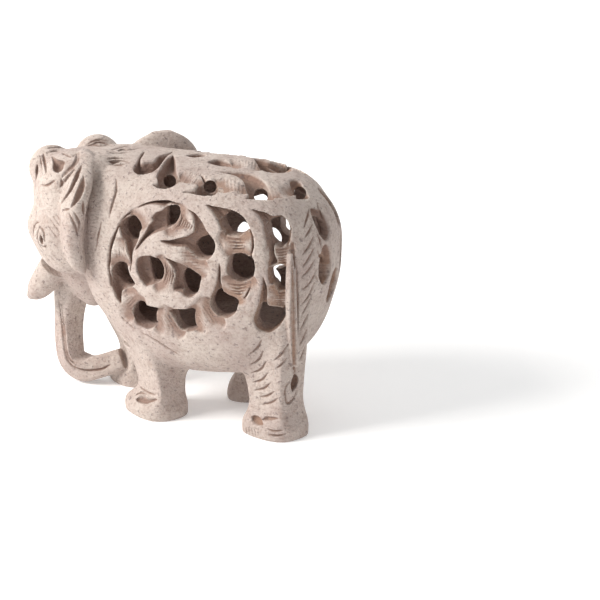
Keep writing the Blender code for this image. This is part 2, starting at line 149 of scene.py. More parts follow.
# The head is turned towards the elephant's right. Its own middle line passes between the two
# bosses of the forehead: forward and left of that line, height, half depth, half width, squareness
HEAD_TURN = 45.0
HEAD_MIDDLE = (-36.1, 0.2)
HEAD = (
    (-8.0, 0.0, 42.6, 7.0, 8.0, 2.6),
    (-8.0, 0.0, 45.0, 11.4, 13.0, 2.8),
    (-7.4, 0.0, 50.0, 13.2, 15.5, 3.0),
    (-6.4, 0.0, 56.0, 14.0, 17.2, 3.0),
    (-6.6, 0.0, 62.5, 13.4, 14.9, 3.0),
    (-6.8, 0.0, 68.0, 13.2, 14.8, 3.0),
    (-7.6, 0.0, 74.0, 12.8, 14.4, 2.8),
    (-10.0, 0.0, 79.0, 10.4, 10.8, 2.5),
    (-12.6, 0.0, 81.2, 5.4, 5.8, 2.2),
)
BOSS_SIDE = 7.6
BOSS_HEIGHT = 74.6
BOSS_RISE = 0.8
BOSS_RADIUS = 7.2

# The jaw joins the trunk to the chest: x, y, height, half length, half width, squareness
JAW = (
    (-30.2, -1.0, 28.6, 2.6, 3.4, 2.2),
    (-31.2, -1.0, 32.4, 6.0, 6.0, 2.4),
    (-32.5, -1.0, 40.0, 10.0, 9.0, 2.6),
    (-32.5, -1.0, 48.0, 10.5, 10.0, 2.6),
)

# The trunk's middle line: x, y, z, half depth, half width
TRUNK = (
    (-38.6, -0.4, 48.0, 6.6, 5.6),
    (-39.0, 0.2, 40.0, 6.6, 5.0),
    (-39.6, 0.6, 32.0, 5.6, 4.5),
    (-40.8, 0.6, 23.0, 4.1, 4.0),
    (-41.1, 0.2, 14.0, 3.8, 3.9),
    (-39.8, -0.2, 7.0, 3.9, 3.8),
    (-34.6, 0.0, 4.6, 3.9, 3.8),
    (-28.4, 1.4, 6.2, 3.7, 3.7),
    (-23.0, 3.0, 8.4, 3.4, 3.4),
)
TRUNK_TURN = 35.0
TRUNK_SQUARENESS = 5.0

# A tusk: forward and out to the side from the head's line, height, radius
TUSK = (
    (-2.0, 9.0, 42.0, 4.8),
    (1.0, 11.2, 36.8, 4.5),
    (4.0, 13.4, 32.4, 3.4),
    (6.4, 15.2, 29.6, 1.1),
)

# An ear is a flap from its hinge to its rim: hinge x and y, rim x and y, height, half thickness
NEAR_EAR = (
    (-29.0, -8.0, -25.0, -12.0, 82.0, 1.4),
    (-31.0, -11.0, -22.4, -17.6, 79.0, 2.6),
    (-32.0, -13.0, -21.0, -22.4, 74.6, 3.4),
    (-32.6, -14.0, -22.2, -25.2, 68.4, 3.6),
    (-32.0, -14.0, -23.8, -25.4, 62.0, 3.6),
    (-31.0, -14.0, -24.8, -25.0, 55.0, 3.4),
    (-29.0, -15.0, -24.4, -24.2, 49.4, 2.8),
    (-26.6, -17.0, -23.4, -22.8, 46.6, 1.2),
)
FAR_EAR = (
    (-15.6, 14.4, -11.0, 18.4, 82.6, 1.3),
    (-20.0, 10.0, -6.6, 21.2, 79.6, 2.4),
    (-22.0, 8.0, -4.2, 23.6, 74.6, 3.0),
    (-23.0, 8.0, -4.6, 25.4, 66.0, 3.2),
    (-24.0, 8.0, -8.0, 25.4, 57.0, 3.0),
    (-24.0, 9.0, -13.0, 23.2, 49.6, 2.4),
    (-22.0, 12.0, -17.0, 19.6, 46.0, 1.2),
)
EAR_SQUARENESS = 2.6

# The tail hangs down the left of the rump: x, y, z, radius
TAIL = (
    (43.0, -18.8, 60.0, 0.8),
    (43.4, -19.4, 52.0, 1.5),
    (43.7, -19.4, 40.0, 1.7),
    (44.0, -18.4, 24.0, 1.3),
)

# The carving is drawn as the camera sees it on two flat sheets: one stands FLANK_SHEET to the left
# of the elephant's middle, and one lies BACK_SHEET above the floor
FLANK_SHEET = -25.0
BACK_SHEET = 78.0
# Outlines of the pockets between the stems, across and up on the flank's sheet
FLANK_POCKETS = outlines(
    (
        -4.9, 68.1, -3.6, 67.2, -2.7, 65.6, -2.7, 63.3, -3.4, 60.6, -4.5, 58.4, -5.3, 56.6, -5.6, 54.6, -5.9,
        52.5, -6.3, 49.9, -6.7, 53.1, -7.3, 55.7, -8.1, 58.3, -8.9, 60.6, -9.4, 62.9, -9.8, 64.2, -8.8, 66.1,
        -7.4, 67.4, -6.2, 67.9,
    ),
    (
        -4.4, 70.5, -6.5, 69, -8, 67.7, -9.9, 64.8, -11.2, 62.3, -12.3, 60.2, -13.2, 57.4, -13.8, 53.6, -13.9,
        50.2, -13.2, 44.8, -12.7, 45.5, -13, 48.6, -13.1, 50.9, -12.8, 53.7, -12.3, 56.5, -11.4, 59.3, -10.2,
        62.4, -9.2, 64.9, -7.8, 66.9, -6, 68.4,
    ),
    (
        -12.6, 50.3, -12, 51.6, -10.8, 52.4, -9.3, 52.8, -8, 52.4, -7.1, 51.4, -6.5, 49.4, -5.6, 47.8, -4.8,
        46.5, -5.7, 45.7, -6.6, 44.5, -8.3, 44, -9.3, 43.4, -9.7, 41.8, -9.8, 39.2, -11.2, 40.7, -12.2, 43.2,
        -13, 45.5, -13.1, 47.9,
    ),
    (
        -4.6, 70.2, -2.4, 71.8, 0, 73, 2.4, 73.8, 5, 74.3, 7.6, 74.4, 9.9, 73.7, 10.9, 73.1, 9.9, 72.6, 8.5,
        73, 6.8, 72.7, 5.5, 72, 4.1, 72.2, 2.1, 72.5, 0, 72.1, -2.4, 71.1,
    ),
    (
        -4.5, 57.5, -3.2, 60.1, -1.8, 62.4, -0.9, 63.9, -0.3, 65.5, 1.1, 67, 1.2, 68.1, 1.7, 69.1, 2.8, 70.3,
        4.4, 70.9, 5.5, 72, 6.8, 72.7, 8.7, 73, 9.9, 72.6, 10.1, 71, 9.8, 69.2, 8.9, 67.5, 7.6, 65.9, 5.9,
        64.9, 4.2, 64.3, 2, 63.3, -0.2, 61.8, -2.1, 59.8, -3.6, 57.9,
    ),
    (
        -4, 54.6, -3, 55.5, -1.6, 55.9, 0.9, 56.2, 2.2, 55.4, 3.5, 54.2, 4.3, 52, 4.1, 49.7, 2.9, 47.7, 1.1,
        46.9, -0.1, 46.4, -1.4, 46, -2.6, 47.3, -3.7, 49.1, -4.4, 51.2, -4.4, 53.2,
    ),
    (
        4.8, 56.1, 7.1, 55.7, 9.8, 54.9, 12, 53.9, 14, 52.6, 15.7, 51.7, 16.9, 51, 16.5, 48.9, 16.1, 47.2,
        14.7, 45.3, 13, 44.1, 11.2, 44.5, 10, 45.4, 7.5, 45.9, 7.3, 48.8, 7.6, 51.2, 7.1, 53.1, 6.1, 54.5,
    ),
    (
        -4.5, 40.7, -3.1, 40.9, -1.7, 40.2, 0.4, 39.8, 2.4, 39.6, 1.7, 38.1, 1.3, 36.7, 1.5, 35, 2.1, 34, 1.2,
        33.2, -0.2, 32.3, -2, 32.1, -4.1, 32.8, -5.4, 34, -6.5, 35.6, -7, 37, -6.3, 38.6, -5.5, 39.9,
    ),
    (
        7.3, 39.9, 9.4, 40.1, 11.5, 40.4, 14.3, 40.5, 14.1, 38.8, 14.2, 36.8, 14.8, 35.2, 15.8, 35.1, 14.9,
        33.9, 12.7, 33.1, 10.6, 32.6, 9.2, 32.9, 7.9, 34.4, 6.9, 36.1, 6.1, 37.7, 5.6, 39,
    ),
    (
        11.4, 73, 13.3, 72.3, 15.1, 71.5, 16.6, 70.2, 17.9, 68.4, 18.9, 66.5, 20.2, 65, 21.3, 63.5, 21.7,
        61.5, 21, 59.4, 19.8, 57.6, 18, 56.5, 16, 56.3, 14.3, 57.2, 13.1, 58.5, 11.3, 59.8, 7.9, 59.9, 5.1,
        60.5, 3.8, 61.5, 6.9, 61.9, 10, 63, 12.2, 63.7, 13.4, 64.6, 14.4, 65.7, 14.7, 69.3, 13.6, 71.3,
    ),
    (
        18.5, 74.5, 20.4, 74.3, 23.4, 74.1, 26.4, 73.8, 28.4, 73.3, 30.1, 72.4, 31.4, 71.2, 32.4, 69.4, 33.2,
        67.9, 33.7, 66, 34, 63.7, 33.8, 62, 33.2, 60.3, 34, 58.8, 34.2, 56.2, 33.8, 54.1, 32.4, 52.3, 31.1,
        51.4, 29.6, 51, 27.7, 51.2, 26.2, 51.8, 25.2, 53.1, 25, 55, 25.3, 57.1, 25.7, 59.1, 25.2, 61.7, 24.5,
        63.9, 23.6, 66.4, 22.9, 68.5, 22.3, 70, 20.8, 72, 19.5, 73.5,
    ),
    (
        22.9, 56.7, 23.3, 54.8, 23.2, 52.1, 23.3, 49.8, 23.7, 47.8, 24.1, 47.2, 25.3, 46.4, 27, 45.9, 28.4,
        45.1, 28.5, 43.4, 28, 41.7, 26.6, 40.1, 24.5, 38.9, 22.4, 38.8, 20.7, 39.6, 19.3, 41.2, 18.9, 43.2,
        19.3, 45, 20.2, 46.4, 21.4, 49.2, 22.1, 52.7, 22.5, 55.1,
    ),
    (33.4, 52.6, 33, 50.7, 32.3, 48.6, 31.3, 46.7, 29.7, 45.4, 30.7, 47.4, 31.7, 49.2, 32.5, 51),
    (
        32.4, 74.8, 35, 74.4, 37.6, 74.1, 39.9, 73.3, 41.5, 73.7, 43.2, 73.6, 44.8, 72.1, 45.7, 70, 45.5,
        67.4, 45, 65.4, 44.1, 63.8, 43.3, 64.2, 42.1, 63.3, 40.8, 63.5, 40.1, 63.5, 40.3, 61.5, 41, 59.7, 41,
        58.3, 39.5, 57.4, 38.1, 57.1, 38.3, 60, 38, 62.6, 37.3, 65.6, 37, 68.3, 36.7, 70.2, 35.6, 72, 34.3,
        73.5,
    ),
    (
        38, 57, 39.5, 57.4, 41.1, 58.2, 42.8, 58.4, 44.1, 57.4, 45, 55.9, 45, 53.2, 43.9, 50.8, 42.2, 49.7,
        40.8, 49.7, 39.7, 51.5, 38.5, 52.3, 38, 54.3,
    ),
    (
        36.7, 54.2, 37.2, 53.1, 37.8, 51.3, 38, 48.4, 37.8, 46.7, 38, 45, 40, 44.8, 42, 44.7, 43.2, 45.7,
        44.2, 47.5, 44.9, 50.6, 45.3, 54.3, 45.1, 57.5, 45.4, 60.8, 44.9, 62.7, 45.3, 64.1, 45.8, 62.9, 46,
        59, 45.9, 54.3, 45.6, 50.4, 45.1, 47, 44.5, 44.2, 43.6, 41.9, 42.3, 39.7, 40.6, 37.9, 38.7, 36.6,
        36.6, 36.4, 34.9, 36.9, 33.6, 38.7, 33.4, 40.4, 34.3, 42.9, 35, 45, 35.5, 47.7, 36.2, 51.1,
    ),
)
# Leaves that stay inside a pocket
FLANK_LEAVES = outlines(
    (
        25.1, 65, 26.9, 64.9, 28.9, 65.1, 30.4, 66.4, 31.9, 67.7, 32.6, 66.5, 32.9, 63.9, 32.6, 61.2, 31.8,
        59.5, 30.2, 60, 28.2, 60.1, 26.5, 59.7, 25.5, 61.7,
    ),
)
# Where a pocket is drilled through the wall
FLANK_HOLES = outlines(
    (
        -5.1, 67.9, -3.5, 66.7, -2.7, 65, -2.8, 63, -3.8, 60.8, -5.2, 59.7, -6.8, 59.7, -8.2, 61, -9, 62.6,
        -8.8, 64.9, -7.4, 66.6,
    ),
    (
        -12, 51.4, -10.4, 52.5, -9, 52.6, -7.6, 51.8, -6.8, 49.7, -6, 47.9, -4.9, 46.6, -6.5, 44.8, -8.2,
        44.6, -10.3, 45.2, -11.9, 46.7, -12.6, 48.6,
    ),
    (
        5.8, 72.1, 7.2, 72.7, 8.9, 72.8, 9.9, 72.2, 10, 70.1, 9.1, 68, 7.7, 66.3, 5.9, 65.2, 4.8, 65.2, 4.5,
        67.1, 4.9, 69.5,
    ),
    (
        -1.3, 55.8, 0.9, 56.1, 2.2, 55.4, 3.5, 54.1, 4.3, 52, 4, 49.7, 2.8, 47.9, 1.1, 47, -0.1, 47.3, -0.8,
        48.9, -1.3, 51.1, -1.6, 53.4,
    ),
    (
        10.2, 51.7, 12.1, 53.4, 14.2, 52.5, 15.9, 51.5, 16.6, 50.6, 16.3, 48.6, 15.8, 46.8, 14.5, 45.3, 13,
        44.2, 11.3, 44.6, 10.2, 46.1, 9.5, 48, 9.5, 50.1,
    ),
    (
        -4.5, 40.4, -3.1, 40.7, -1.5, 40.1, 0.4, 39.7, 2.2, 39.5, 1.4, 37.6, 1.3, 35.4, 1.8, 34, -0.2, 32.5,
        -2, 32.3, -4.1, 33.1, -5.5, 34.4, -6.4, 36, -6.1, 38.5,
    ),
    (
        7.9, 39.9, 11.5, 40.3, 14.2, 40.4, 14, 38.1, 14.3, 35.8, 14.9, 34.5, 12.7, 33.3, 10.6, 32.9, 8.9,
        33.6, 7.7, 35.5, 7.3, 37.5,
    ),
    (
        15.8, 62.7, 17.5, 63.4, 19.2, 64.2, 20.5, 64.1, 21.4, 62.5, 21.5, 60.6, 20.6, 58.8, 19, 57.2, 17.3,
        56.7, 15.6, 57.2, 14.4, 58.4, 13.8, 60, 14.5, 61.5,
    ),
    (
        22.7, 69.5, 24, 70.8, 25.4, 72.3, 27.1, 72.9, 29, 72.4, 30.7, 71.7, 31.9, 70, 32.3, 68.4, 31.5, 66.9,
        30.2, 66.4, 28.9, 65.4, 26.9, 65.2, 25.2, 65.3, 23.9, 66.8,
    ),
    (
        25.8, 58.8, 27.3, 59.6, 29.5, 60.1, 31.8, 59.5, 33.5, 58.6, 34.1, 56.2, 33.6, 53.9, 32.1, 52.3, 29.6,
        51.1, 27, 51.5, 25.4, 52.8, 25, 55, 25.2, 57,
    ),
    (
        20.2, 46, 21.9, 47.2, 23.6, 47.1, 25.3, 46.3, 27, 45.9, 28.3, 45, 28.4, 43.4, 27.9, 41.7, 26.5, 40.3,
        24.5, 39.2, 22.4, 39, 20.8, 39.8, 19.6, 41.2, 19.2, 43.2,
    ),
    (
        37.2, 70, 38.5, 71.1, 40, 71.8, 41.5, 71.9, 42.9, 71.2, 43.7, 69.4, 43.7, 67.2, 43.3, 64.8, 42.1,
        63.4, 40.7, 63.6, 39.1, 64.4, 37.9, 65.8, 37.4, 68,
    ),
    (
        38.3, 56.7, 39.5, 57.1, 41.2, 57.9, 42.6, 58, 43.6, 57, 44, 55.4, 43.7, 53.1, 42.7, 51, 41.4, 50.1,
        40.7, 50.4, 39.9, 51.8, 38.8, 52.6, 38.3, 54.4,
    ),
    (
        35, 44.6, 37.4, 44.4, 40, 44.6, 42, 44.5, 42.5, 43, 42, 40.9, 40.6, 38.7, 38.7, 37.1, 36.6, 36.8, 35,
        37.3, 33.9, 38.8, 33.7, 40.4, 34.4, 42.7,
    ),
)
# Each set of leaf grooves: how many there are, then the first one's points and the last one's
FLANK_HATCHES = (
    (5, (-3.2, 68.3, -2.5, 66.7), (-0.7, 69.1, -0.4, 68.0)),
    (6, (10.4, 71.0, 10.7, 68.8, 9.7, 66.4, 8.2, 65.2), (14.4, 67.9, 14.3, 67.2, 13.9, 66.5, 13.5, 65.9)),
    (4, (-10.5, 57.4, -11.0, 53.9), (-8.6, 57.9, -7.9, 54.6)),
    (4, (4.8, 54.5, 5.3, 50.9, 4.2, 46.9), (7.3, 52.8, 7.4, 50.5, 6.9, 47.9)),
    (4, (-8.2, 40.2, -6.4, 42.2), (-7.2, 37.3, -4.5, 40.7)),
    (5, (2.4, 36.2, 3.9, 33.8), (5.5, 37.7, 8.5, 33.0)),
    (6, (9.5, 58.4, 14.0, 58.1), (14.5, 53.3, 16.9, 53.8)),
    (4, (25.3, 64.3, 28.2, 64.2, 31.4, 64.7), (26.8, 61.5, 28.9, 61.5, 30.9, 62.1)),
    (4, (25.3, 50.1, 28.7, 49.8, 32.4, 51.0), (26.3, 47.2, 28.7, 47.1, 30.7, 47.9)),
    (6, (40.2, 62.6, 42.3, 62.7, 44.6, 63.6), (41.0, 58.7, 42.6, 58.8, 44.1, 59.4)),
    (6, (40.4, 49.0, 42.2, 49.1, 44.4, 49.9), (39.7, 45.3, 41.7, 45.3, 43.7, 45.8)),
    (6, (14.6, 39.0, 16.6, 36.1), (18.1, 42.4, 21.7, 37.2)),
)
# The same for the back, along x and y on its own sheet
BACK_POCKETS = outlines(
    (
        -11.3, -9.9, -13.7, -1.5, -15.5, 4.4, -15.7, 8.5, -14.3, 4.1, -13.5, 0.5, -11.8, -2.6, -10.3, -1.4,
        -8.7, 0, -9.7, 4.9, -8.7, 7.2, -7.2, 11.6, -7, 5.9, -6.2, 1.7, -5, -3.9, -4.4, -8.9, -4.9, -12.3,
        -6.6, -14.5, -8.6, -13.7,
    ),
    (
        0.6, -22.1, 1, -19.2, -1.8, -13.8, -3.5, -7.1, -5.2, -0.3, -5.8, 4.8, -5.5, 7.6, -1.8, 1, 1.7, -6.7,
        4.2, -10.9, 7.7, -14.6, 7.3, -18.4, 7.1, -22.6, 5.8, -24.7, 3.8, -24.9,
    ),
    (
        12, -26, 13.4, -23.3, 14.1, -20.4, 12.9, -16.2, 13, -12.7, 10.3, -8.7, 12, -9.5, 14.9, -13.1, 17,
        -12.1, 19, -15, 22.3, -17.7, 21.5, -21.2, 21.8, -25.6, 19.9, -26.7, 15.6, -26.6,
    ),
    (
        12.7, -3.3, 20, -1.6, 24, -2, 27.7, -4.5, 31.4, -8.5, 34.8, -13.6, 39.8, -23.2, 37.5, -26.8, 33.7,
        -26.6, 31.9, -25.7, 30.8, -20.8, 27.8, -15.4, 25.2, -10.4, 21.2, -6.1, 16.8, -4.5,
    ),
    (
        37.6, -4.9, 38.9, -3.3, 41.6, -5.5, 44.6, -11, 47.4, -15.3, 48.8, -18.6, 47.2, -20.4, 45.2, -20.4,
        44.2, -17.2, 41.2, -12.2,
    ),
    (
        19.5, 12.8, 22.2, 12.9, 25.7, 11.9, 29.8, 10.4, 34.2, 6.9, 34.4, 3.6, 32.6, 1.5, 29.4, 1, 26.8, 1.7,
        24.1, 5.6, 21.7, 9.5,
    ),
    (7.2, 4.3, 8.6, 7.8, 10.9, 8.3, 14.3, 6.4, 17.5, 3.8, 14.9, 2.1, 11, 2.2),
    (-1.7, 8.9, 0.7, 7.5, 2.6, 8.2, 4.3, 11.1, 1.3, 11.9),
)
BACK_HOLES = outlines(
    (
        -11, -10.1, -11.7, -5.3, -9.3, -5.6, -6.5, -7.3, -7.5, -1.1, -6.4, 0.5, -4.9, -5.4, -4.5, -9.5, -5.3,
        -12.4, -7.1, -13.9, -9, -13.2,
    ),
    (1.3, -21.9, 1.6, -19, 0.9, -13.5, 3.6, -10.7, 7.3, -14.7, 7, -18, 6.8, -22, 5.6, -24.1, 3.7, -24.2),
    (
        16.2, -25.4, 13.8, -18.7, 13.6, -13.6, 15.7, -13.4, 17.5, -12.8, 19, -15.3, 21.9, -17.9, 21.3, -20.9,
        21.5, -25.2, 19.6, -26.1,
    ),
    (
        31.9, -25.1, 31, -20.8, 28.5, -15.5, 28.8, -11.9, 31.3, -13.1, 34.4, -16.8, 37.7, -21, 39.4, -23.1,
        37.3, -26.3, 33.7, -26.2,
    ),
    (41.3, -12.2, 41.7, -9.3, 44, -11.2, 46.8, -15.5, 48.2, -18.4, 47.0, -19.6, 45.6, -19.6, 44.4, -17.0),
    (24.4, 8.3, 25.8, 10.3, 29.4, 9, 33.2, 6.3, 32.3, 2.4, 29.3, 1.9, 26.8, 2.7),
    (8.8, 4.1, 10.5, 6.6, 13.7, 5.7, 15.9, 4.1, 13.9, 2.5, 10.7, 2.8),
)
BACK_HATCHES = (
    (5, (7.7, -14, 6.8, -6.6), (11, -14.8, 10.3, -7.6)),
    (6, (17.9, -8, 22.7, -19.3), (25.8, -12.3, 28.3, -18.6)),
    (6, (31.5, -6.2, 39.8, -18.5), (35.9, -7.5, 41.6, -15.1)),
    (6, (16, 9.6, 18.5, 4.2), (21.2, 10, 23.2, 3.8)),
)
# Where the pockets of the back end at the shoulder, as points along x and y on the back's sheet
BACK_BORDER = (
    (-20, -26.5), (12.7, -26.7), (21.6, -26.9), (32.4, -25.6), (39.6, -24.2), (46.1, -24.4), (60, -23.2),
)
# The pockets of the back also end where its skin falls more steeply than this
STEEPEST = 4.0
STEEP_SHARE = 1.5
# The far flank and the far side of the back take only some of the outlines, and are plainer
FAR_FLANK_POCKETS = (4, 5, 6, 8, 9, 10, 11, 12, 13, 14, 15)
FAR_FLANK_HOLES = (0, 2, 4, 7, 8, 9, 10, 11, 12, 13)
FAR_FLANK_HATCHES = (1, 3, 6, 7, 8, 9, 10, 11)
FAR_EXTRA_HOLES = outlines(
    (19.6, 50.0, 21.0, 52.4, 23.4, 52.6, 25.2, 50.4, 24.8, 47.6, 22.6, 46.4, 20.2, 47.4),
    (19.4, 36.2, 21.0, 38.6, 23.6, 38.6, 25.2, 36.2, 24.4, 33.8, 22.2, 33.0, 20.2, 34.0),
)
FAR_BACK_POCKETS = (1, 2, 3, 4)
FAR_BACK_HOLES = (1, 2, 3, 4)
FAR_BACK_HATCHES = (0, 1, 2)
# The pockets on the far side of the back start at this y and this x
FAR_BACK_START = 9.5
FAR_BACK_FRONT = 1.0
# The far ear is kept whole: it starts at this y and x, and the far flank is carved behind this x
EAR_SIDE = 6.0
EAR_REAR = -2.0
FAR_FLANK_FRONT = -5.0
# Openings drilled along the line of sight: across and up on the flank's sheet, radius and depth
DRILLED = (
    (36.4, 79.1, 2.1, 17.0),
    (48.4, 81.2, 1.9, 8.0),
    (20.5, 80.1, 1.9, 9.0),
    (7.6, 80.4, 1.9, 9.0),
)
# Openings of the rump: y and height of the middle, half width and half height
RUMP_HOLES = (
    (-6.0, 64.4, 2.9, 3.4),
    (6.4, 65.6, 3.4, 4.0),
    (-7.2, 52.0, 3.4, 4.4),
    (7.2, 52.0, 3.4, 4.4),
    (0.0, 43.0, 3.7, 4.0),
)
# They are cut only behind this x, and this is how deep the pockets round them are
RUMP_FRONT = 36.0
RUMP_DEPTH = 2.4
# The pocket round an opening of the rump is taller than the opening, and set higher
RUMP_TALLER = 1.5
RUMP_HIGHER = 0.35
# Broad cuts of the head, feet and tail: depth, then a path of across, up and half width on the
# flank's sheet
CUTS = (
    (1.3, (-36.1, 81.2, 0.1, -36.3, 79.6, 0.6, -36.5, 78, 0.9, -36.8, 76.4, 0.3)),
    (2.0, (-31, 84.4, 0.1, -30.1, 83.1, 0.6, -29, 81.6, 1.6, -28.7, 80.6, 0.9)),
    (0.9, (-33.8, 84.5, 0.2, -33.6, 82.4, 0.4, -33.3, 80.2, 0.4, -33.2, 78.4, 0.1)),
    (0.5, (-35, 84.3, 0.1, -34.8, 82.6, 0.2, -34.6, 80.4, 0.2, -34.5, 78.5, 0.1)),
    (
        1.3,
        (
            -21, 82.7, 0.1, -22.4, 80.1, 0.6, -23.8, 77.2, 0.8, -25.6, 73.8, 0.7, -27.7, 70.9, 0.4, -28.9,
            69.1, 0.1,
        ),
    ),
    (1.3, (-20.6, 79.4, 0.1, -21.2, 76.8, 0.6, -22.3, 73.9, 0.8, -23.9, 70.8, 0.6, -25.7, 68.2, 0.1)),
    (0.9, (-21.1, 71.5, 0.1, -21, 69.3, 0.4, -20.9, 67.4, 0.4, -20.8, 66.7, 0.1)),
    (0.9, (-28.4, 77.6, 0.1, -28, 75.8, 0.4, -28.8, 74.6, 0.1)),
    (1.2, (-36.3, 58.5, 0.1, -36.1, 56.9, 0.8, -35.9, 55.6, 0.3)),
    (1.0, (-8.9, 88, 0.1, -7.3, 88.8, 0.6, -5.7, 88.7, 0.4, -1.7, 89.7, 0.1)),
    (1.0, (-12.3, 84.5, 0.1, -10.4, 84.6, 0.7, -8.1, 85.2, 0.5, -5.1, 85, 0.1)),
    (2.2, (46.8, 23.6, 0.5, 46.8, 21.8, 1.4, 46.2, 19.1, 0.4)),
    (
        1.1,
        (
            46.3, 65.8, 0.2, 46.6, 60.1, 0.4, 46.8, 51.3, 0.4, 46.8, 42.2, 0.4, 46.8, 29.4, 0.5, 46.8, 23.9,
            0.2,
        ),
    ),
    (0.8, (-5.7, 8.3, 0.2, -4, 8.6, 1, -1.9, 8.2, 0.7, 1.2, 9.2, 0.2)),
    (0.6, (36.4, 7.9, 0.2, 37.8, 8.4, 0.5, 41.1, 8.9, 0.2)),
    (0.9, (32.9, 8.2, 0.2, 34.3, 7.3, 1.1, 36.3, 6.3, 0.2)),
)
# Fine grooves, across and up on the flank's sheet
GROOVES = outlines(
    (-32.3, 86.5, -30.8, 87, -27.4, 87.4, -25.1, 87.3),
    (-32.1, 85.4, -29.5, 86, -26.8, 85.4, -24.5, 84.7, -23.1, 85.7),
    (-22.6, 86.4, -22.8, 84.4, -23.8, 82.5, -25.7, 80.6, -27.8, 78.6),
    (-21.9, 86.4, -22.3, 83.9, -24.4, 81.2, -26.5, 78.8),
    (-35.1, 74.7, -33.3, 74.7, -31.3, 76, -30.3, 76.6),
    (-23.6, 80.8, -25.5, 78.7, -27.1, 76.7, -27.8, 76.1),
    (-24.3, 82.1, -26.4, 79.6, -28, 77.7),
    (-30.3, 65.6, -28.1, 62.4),
    (-31.5, 65, -28.6, 61.1),
    (-32.5, 63.8, -29.7, 60.3),
    (-33.4, 61.8, -30.5, 58.2),
    (-36.5, 62.6, -37.6, 62.2, -38.6, 59.5, -38.4, 57.6),
    (-36.3, 61.2, -37.3, 58.9, -37.2, 56.8, -36.3, 54.6, -35.7, 53.7),
    (-36.3, 61.2, -35.2, 59.9, -35, 57.4, -34.7, 56.3),
    (-35.9, 54.9, -35.1, 54.6, -34.4, 55.5),
    (-32.5, 52.8, -31, 51.5),
    (-33.6, 52.2, -31.9, 50.7),
    (-34.4, 51.6, -33, 49.7),
    (-35.1, 50.9, -33.9, 49.3),
    (-28.2, 67.4, -27, 67.8, -25.9, 68.1),
    (-26.1, 66.5, -24.8, 64, -23.8, 61.9, -23.4, 59.3),
    (-24.4, 67.2, -23.1, 65.1, -22.6, 63.3, -23, 61.2),
    (-19.4, 88.8, -17.4, 90.2, -14.4, 91.1, -11.8, 90.7),
    (-18.6, 88.2, -16, 90, -13.4, 90.1, -10.7, 89.2),
    (-20.1, 87.9, -17.4, 89.2, -15.1, 89, -12.5, 89.4),
    (-10.9, 88.2, -8.9, 89, -5.6, 90),
    (-11.6, 87.2, -9, 87.4, -5, 88.1),
    (-12.6, 85.2, -10, 85.8, -6.1, 86.1),
    (-12, 83.7, -9.1, 83.7, -6.1, 84.6),
    (-15.4, 65.1, -16.6, 60.8, -17.7, 55.9),
    (-9.9, 79.3, -10.1, 75.5, -11.6, 70.9, -12.7, 67),
    (
        -31, 37.4, -30.6, 32.4, -30.3, 26.1, -30, 21.4, -29.1, 18.3, -27.6, 16.3, -25.1, 15.5, -22.1, 15.5,
        -17.2, 16.7, -14.2, 18.7,
    ),
    (-30.2, 36.7, -29.8, 30.8, -29.5, 25.8, -29.1, 21.1, -28.1, 18.7, -26.3, 17.3),
    (-2.9, 30.7, 2.2, 28.5, 9.3, 25.1),
    (-9.6, 34.9, -7.5, 33, -5.4, 31.6),
    (-4.3, 12.6, -2.2, 11.2, 0.8, 10.6),
    (-5.9, 9.6, -4, 10.8, -1.8, 10.2),
    (45.7, 65.7, 46.3, 60.1, 46.1, 51.2, 45.8, 42.1, 46.1, 33, 46.2, 23.8),
    (47.4, 60.2, 47.7, 51.4, 47.7, 42.3, 47.6, 30.9),
    (45.3, 22, 43.8, 18.8, 44.3, 14.6, 46, 15.6, 47.9, 19.6),
    (36.2, 33.9, 34.8, 31, 32.4, 28.9),
    (36.7, 30.3, 35.2, 27.3, 32.7, 25.4),
    (37.6, 27.2, 35.7, 24.2, 32.8, 22.7),
    (38, 23.4, 36.1, 20.9, 33.3, 19.7),
    (39, 20.4, 36.6, 18.1, 33.7, 17.1),
    (40.2, 17.7, 38, 16, 35.5, 15.1),
    (41.2, 15.5, 39, 13.8, 36.5, 12.9),
    (44.8, 33.8, 42.6, 30.2, 40.2, 27.9),
    (44.3, 29.1, 42.5, 26.7, 40.7, 25.3),
    (30.8, 4.3, 31.1, 2.3),
    (31.7, 4.4, 32.1, 2.1),
    (32.7, 4.3, 33.1, 2.1),
    (33.6, 4.2, 34.1, 2.1),
    (37.8, 5, 40.1, 4.5, 42.9, 5.3),
    (38.2, 3.1, 41, 3.1, 43.8, 4.2),
    (51.3, 76.9, 50.6, 73.8, 49.7, 71),
    (52.3, 72.2, 51.3, 70, 50, 68),
    (52.7, 68.7, 51.1, 65.1, 49.3, 62.6),
    (53, 65.3, 51.2, 61.6, 49.3, 58.7),
    (53.3, 61.8, 51.2, 58, 48.9, 55.4),
    (53.7, 58.4, 51.6, 54.1, 49.3, 51.6),
    (53, 54.3, 51.2, 50, 49.1, 47),
    (52.2, 50.2, 50.7, 46.8, 48.9, 43.3),
    (51.2, 44.6, 49.8, 41.3, 48.5, 38.6),
    (50.6, 39.1, 49.5, 36.2, 48.4, 34),
    (50.1, 33.6, 49.3, 31.2, 48.4, 29.2),
    (53.7, 78.9, 54.5, 76, 55.1, 74.3),
    (53.2, 74.5, 54.2, 71.5, 54.7, 69.9),
    (53.7, 69.8, 54.6, 67.6, 55.1, 65.5),
    (53.9, 64.6, 54.6, 62.5, 54.8, 61.2),
    (53.3, 56.5, 54, 54.8),
)

# A pocket is deepest round its openings, and its floor rises by POCKET_FALL for each millimetre away
# from them. Its sides are POCKET_SIDE times as deep as they are wide.
POCKET_DEPTH = 4.0
POCKET_TIP_DEPTH = 1.8
POCKET_FALL = 0.3
POCKET_SIDE = 4.5
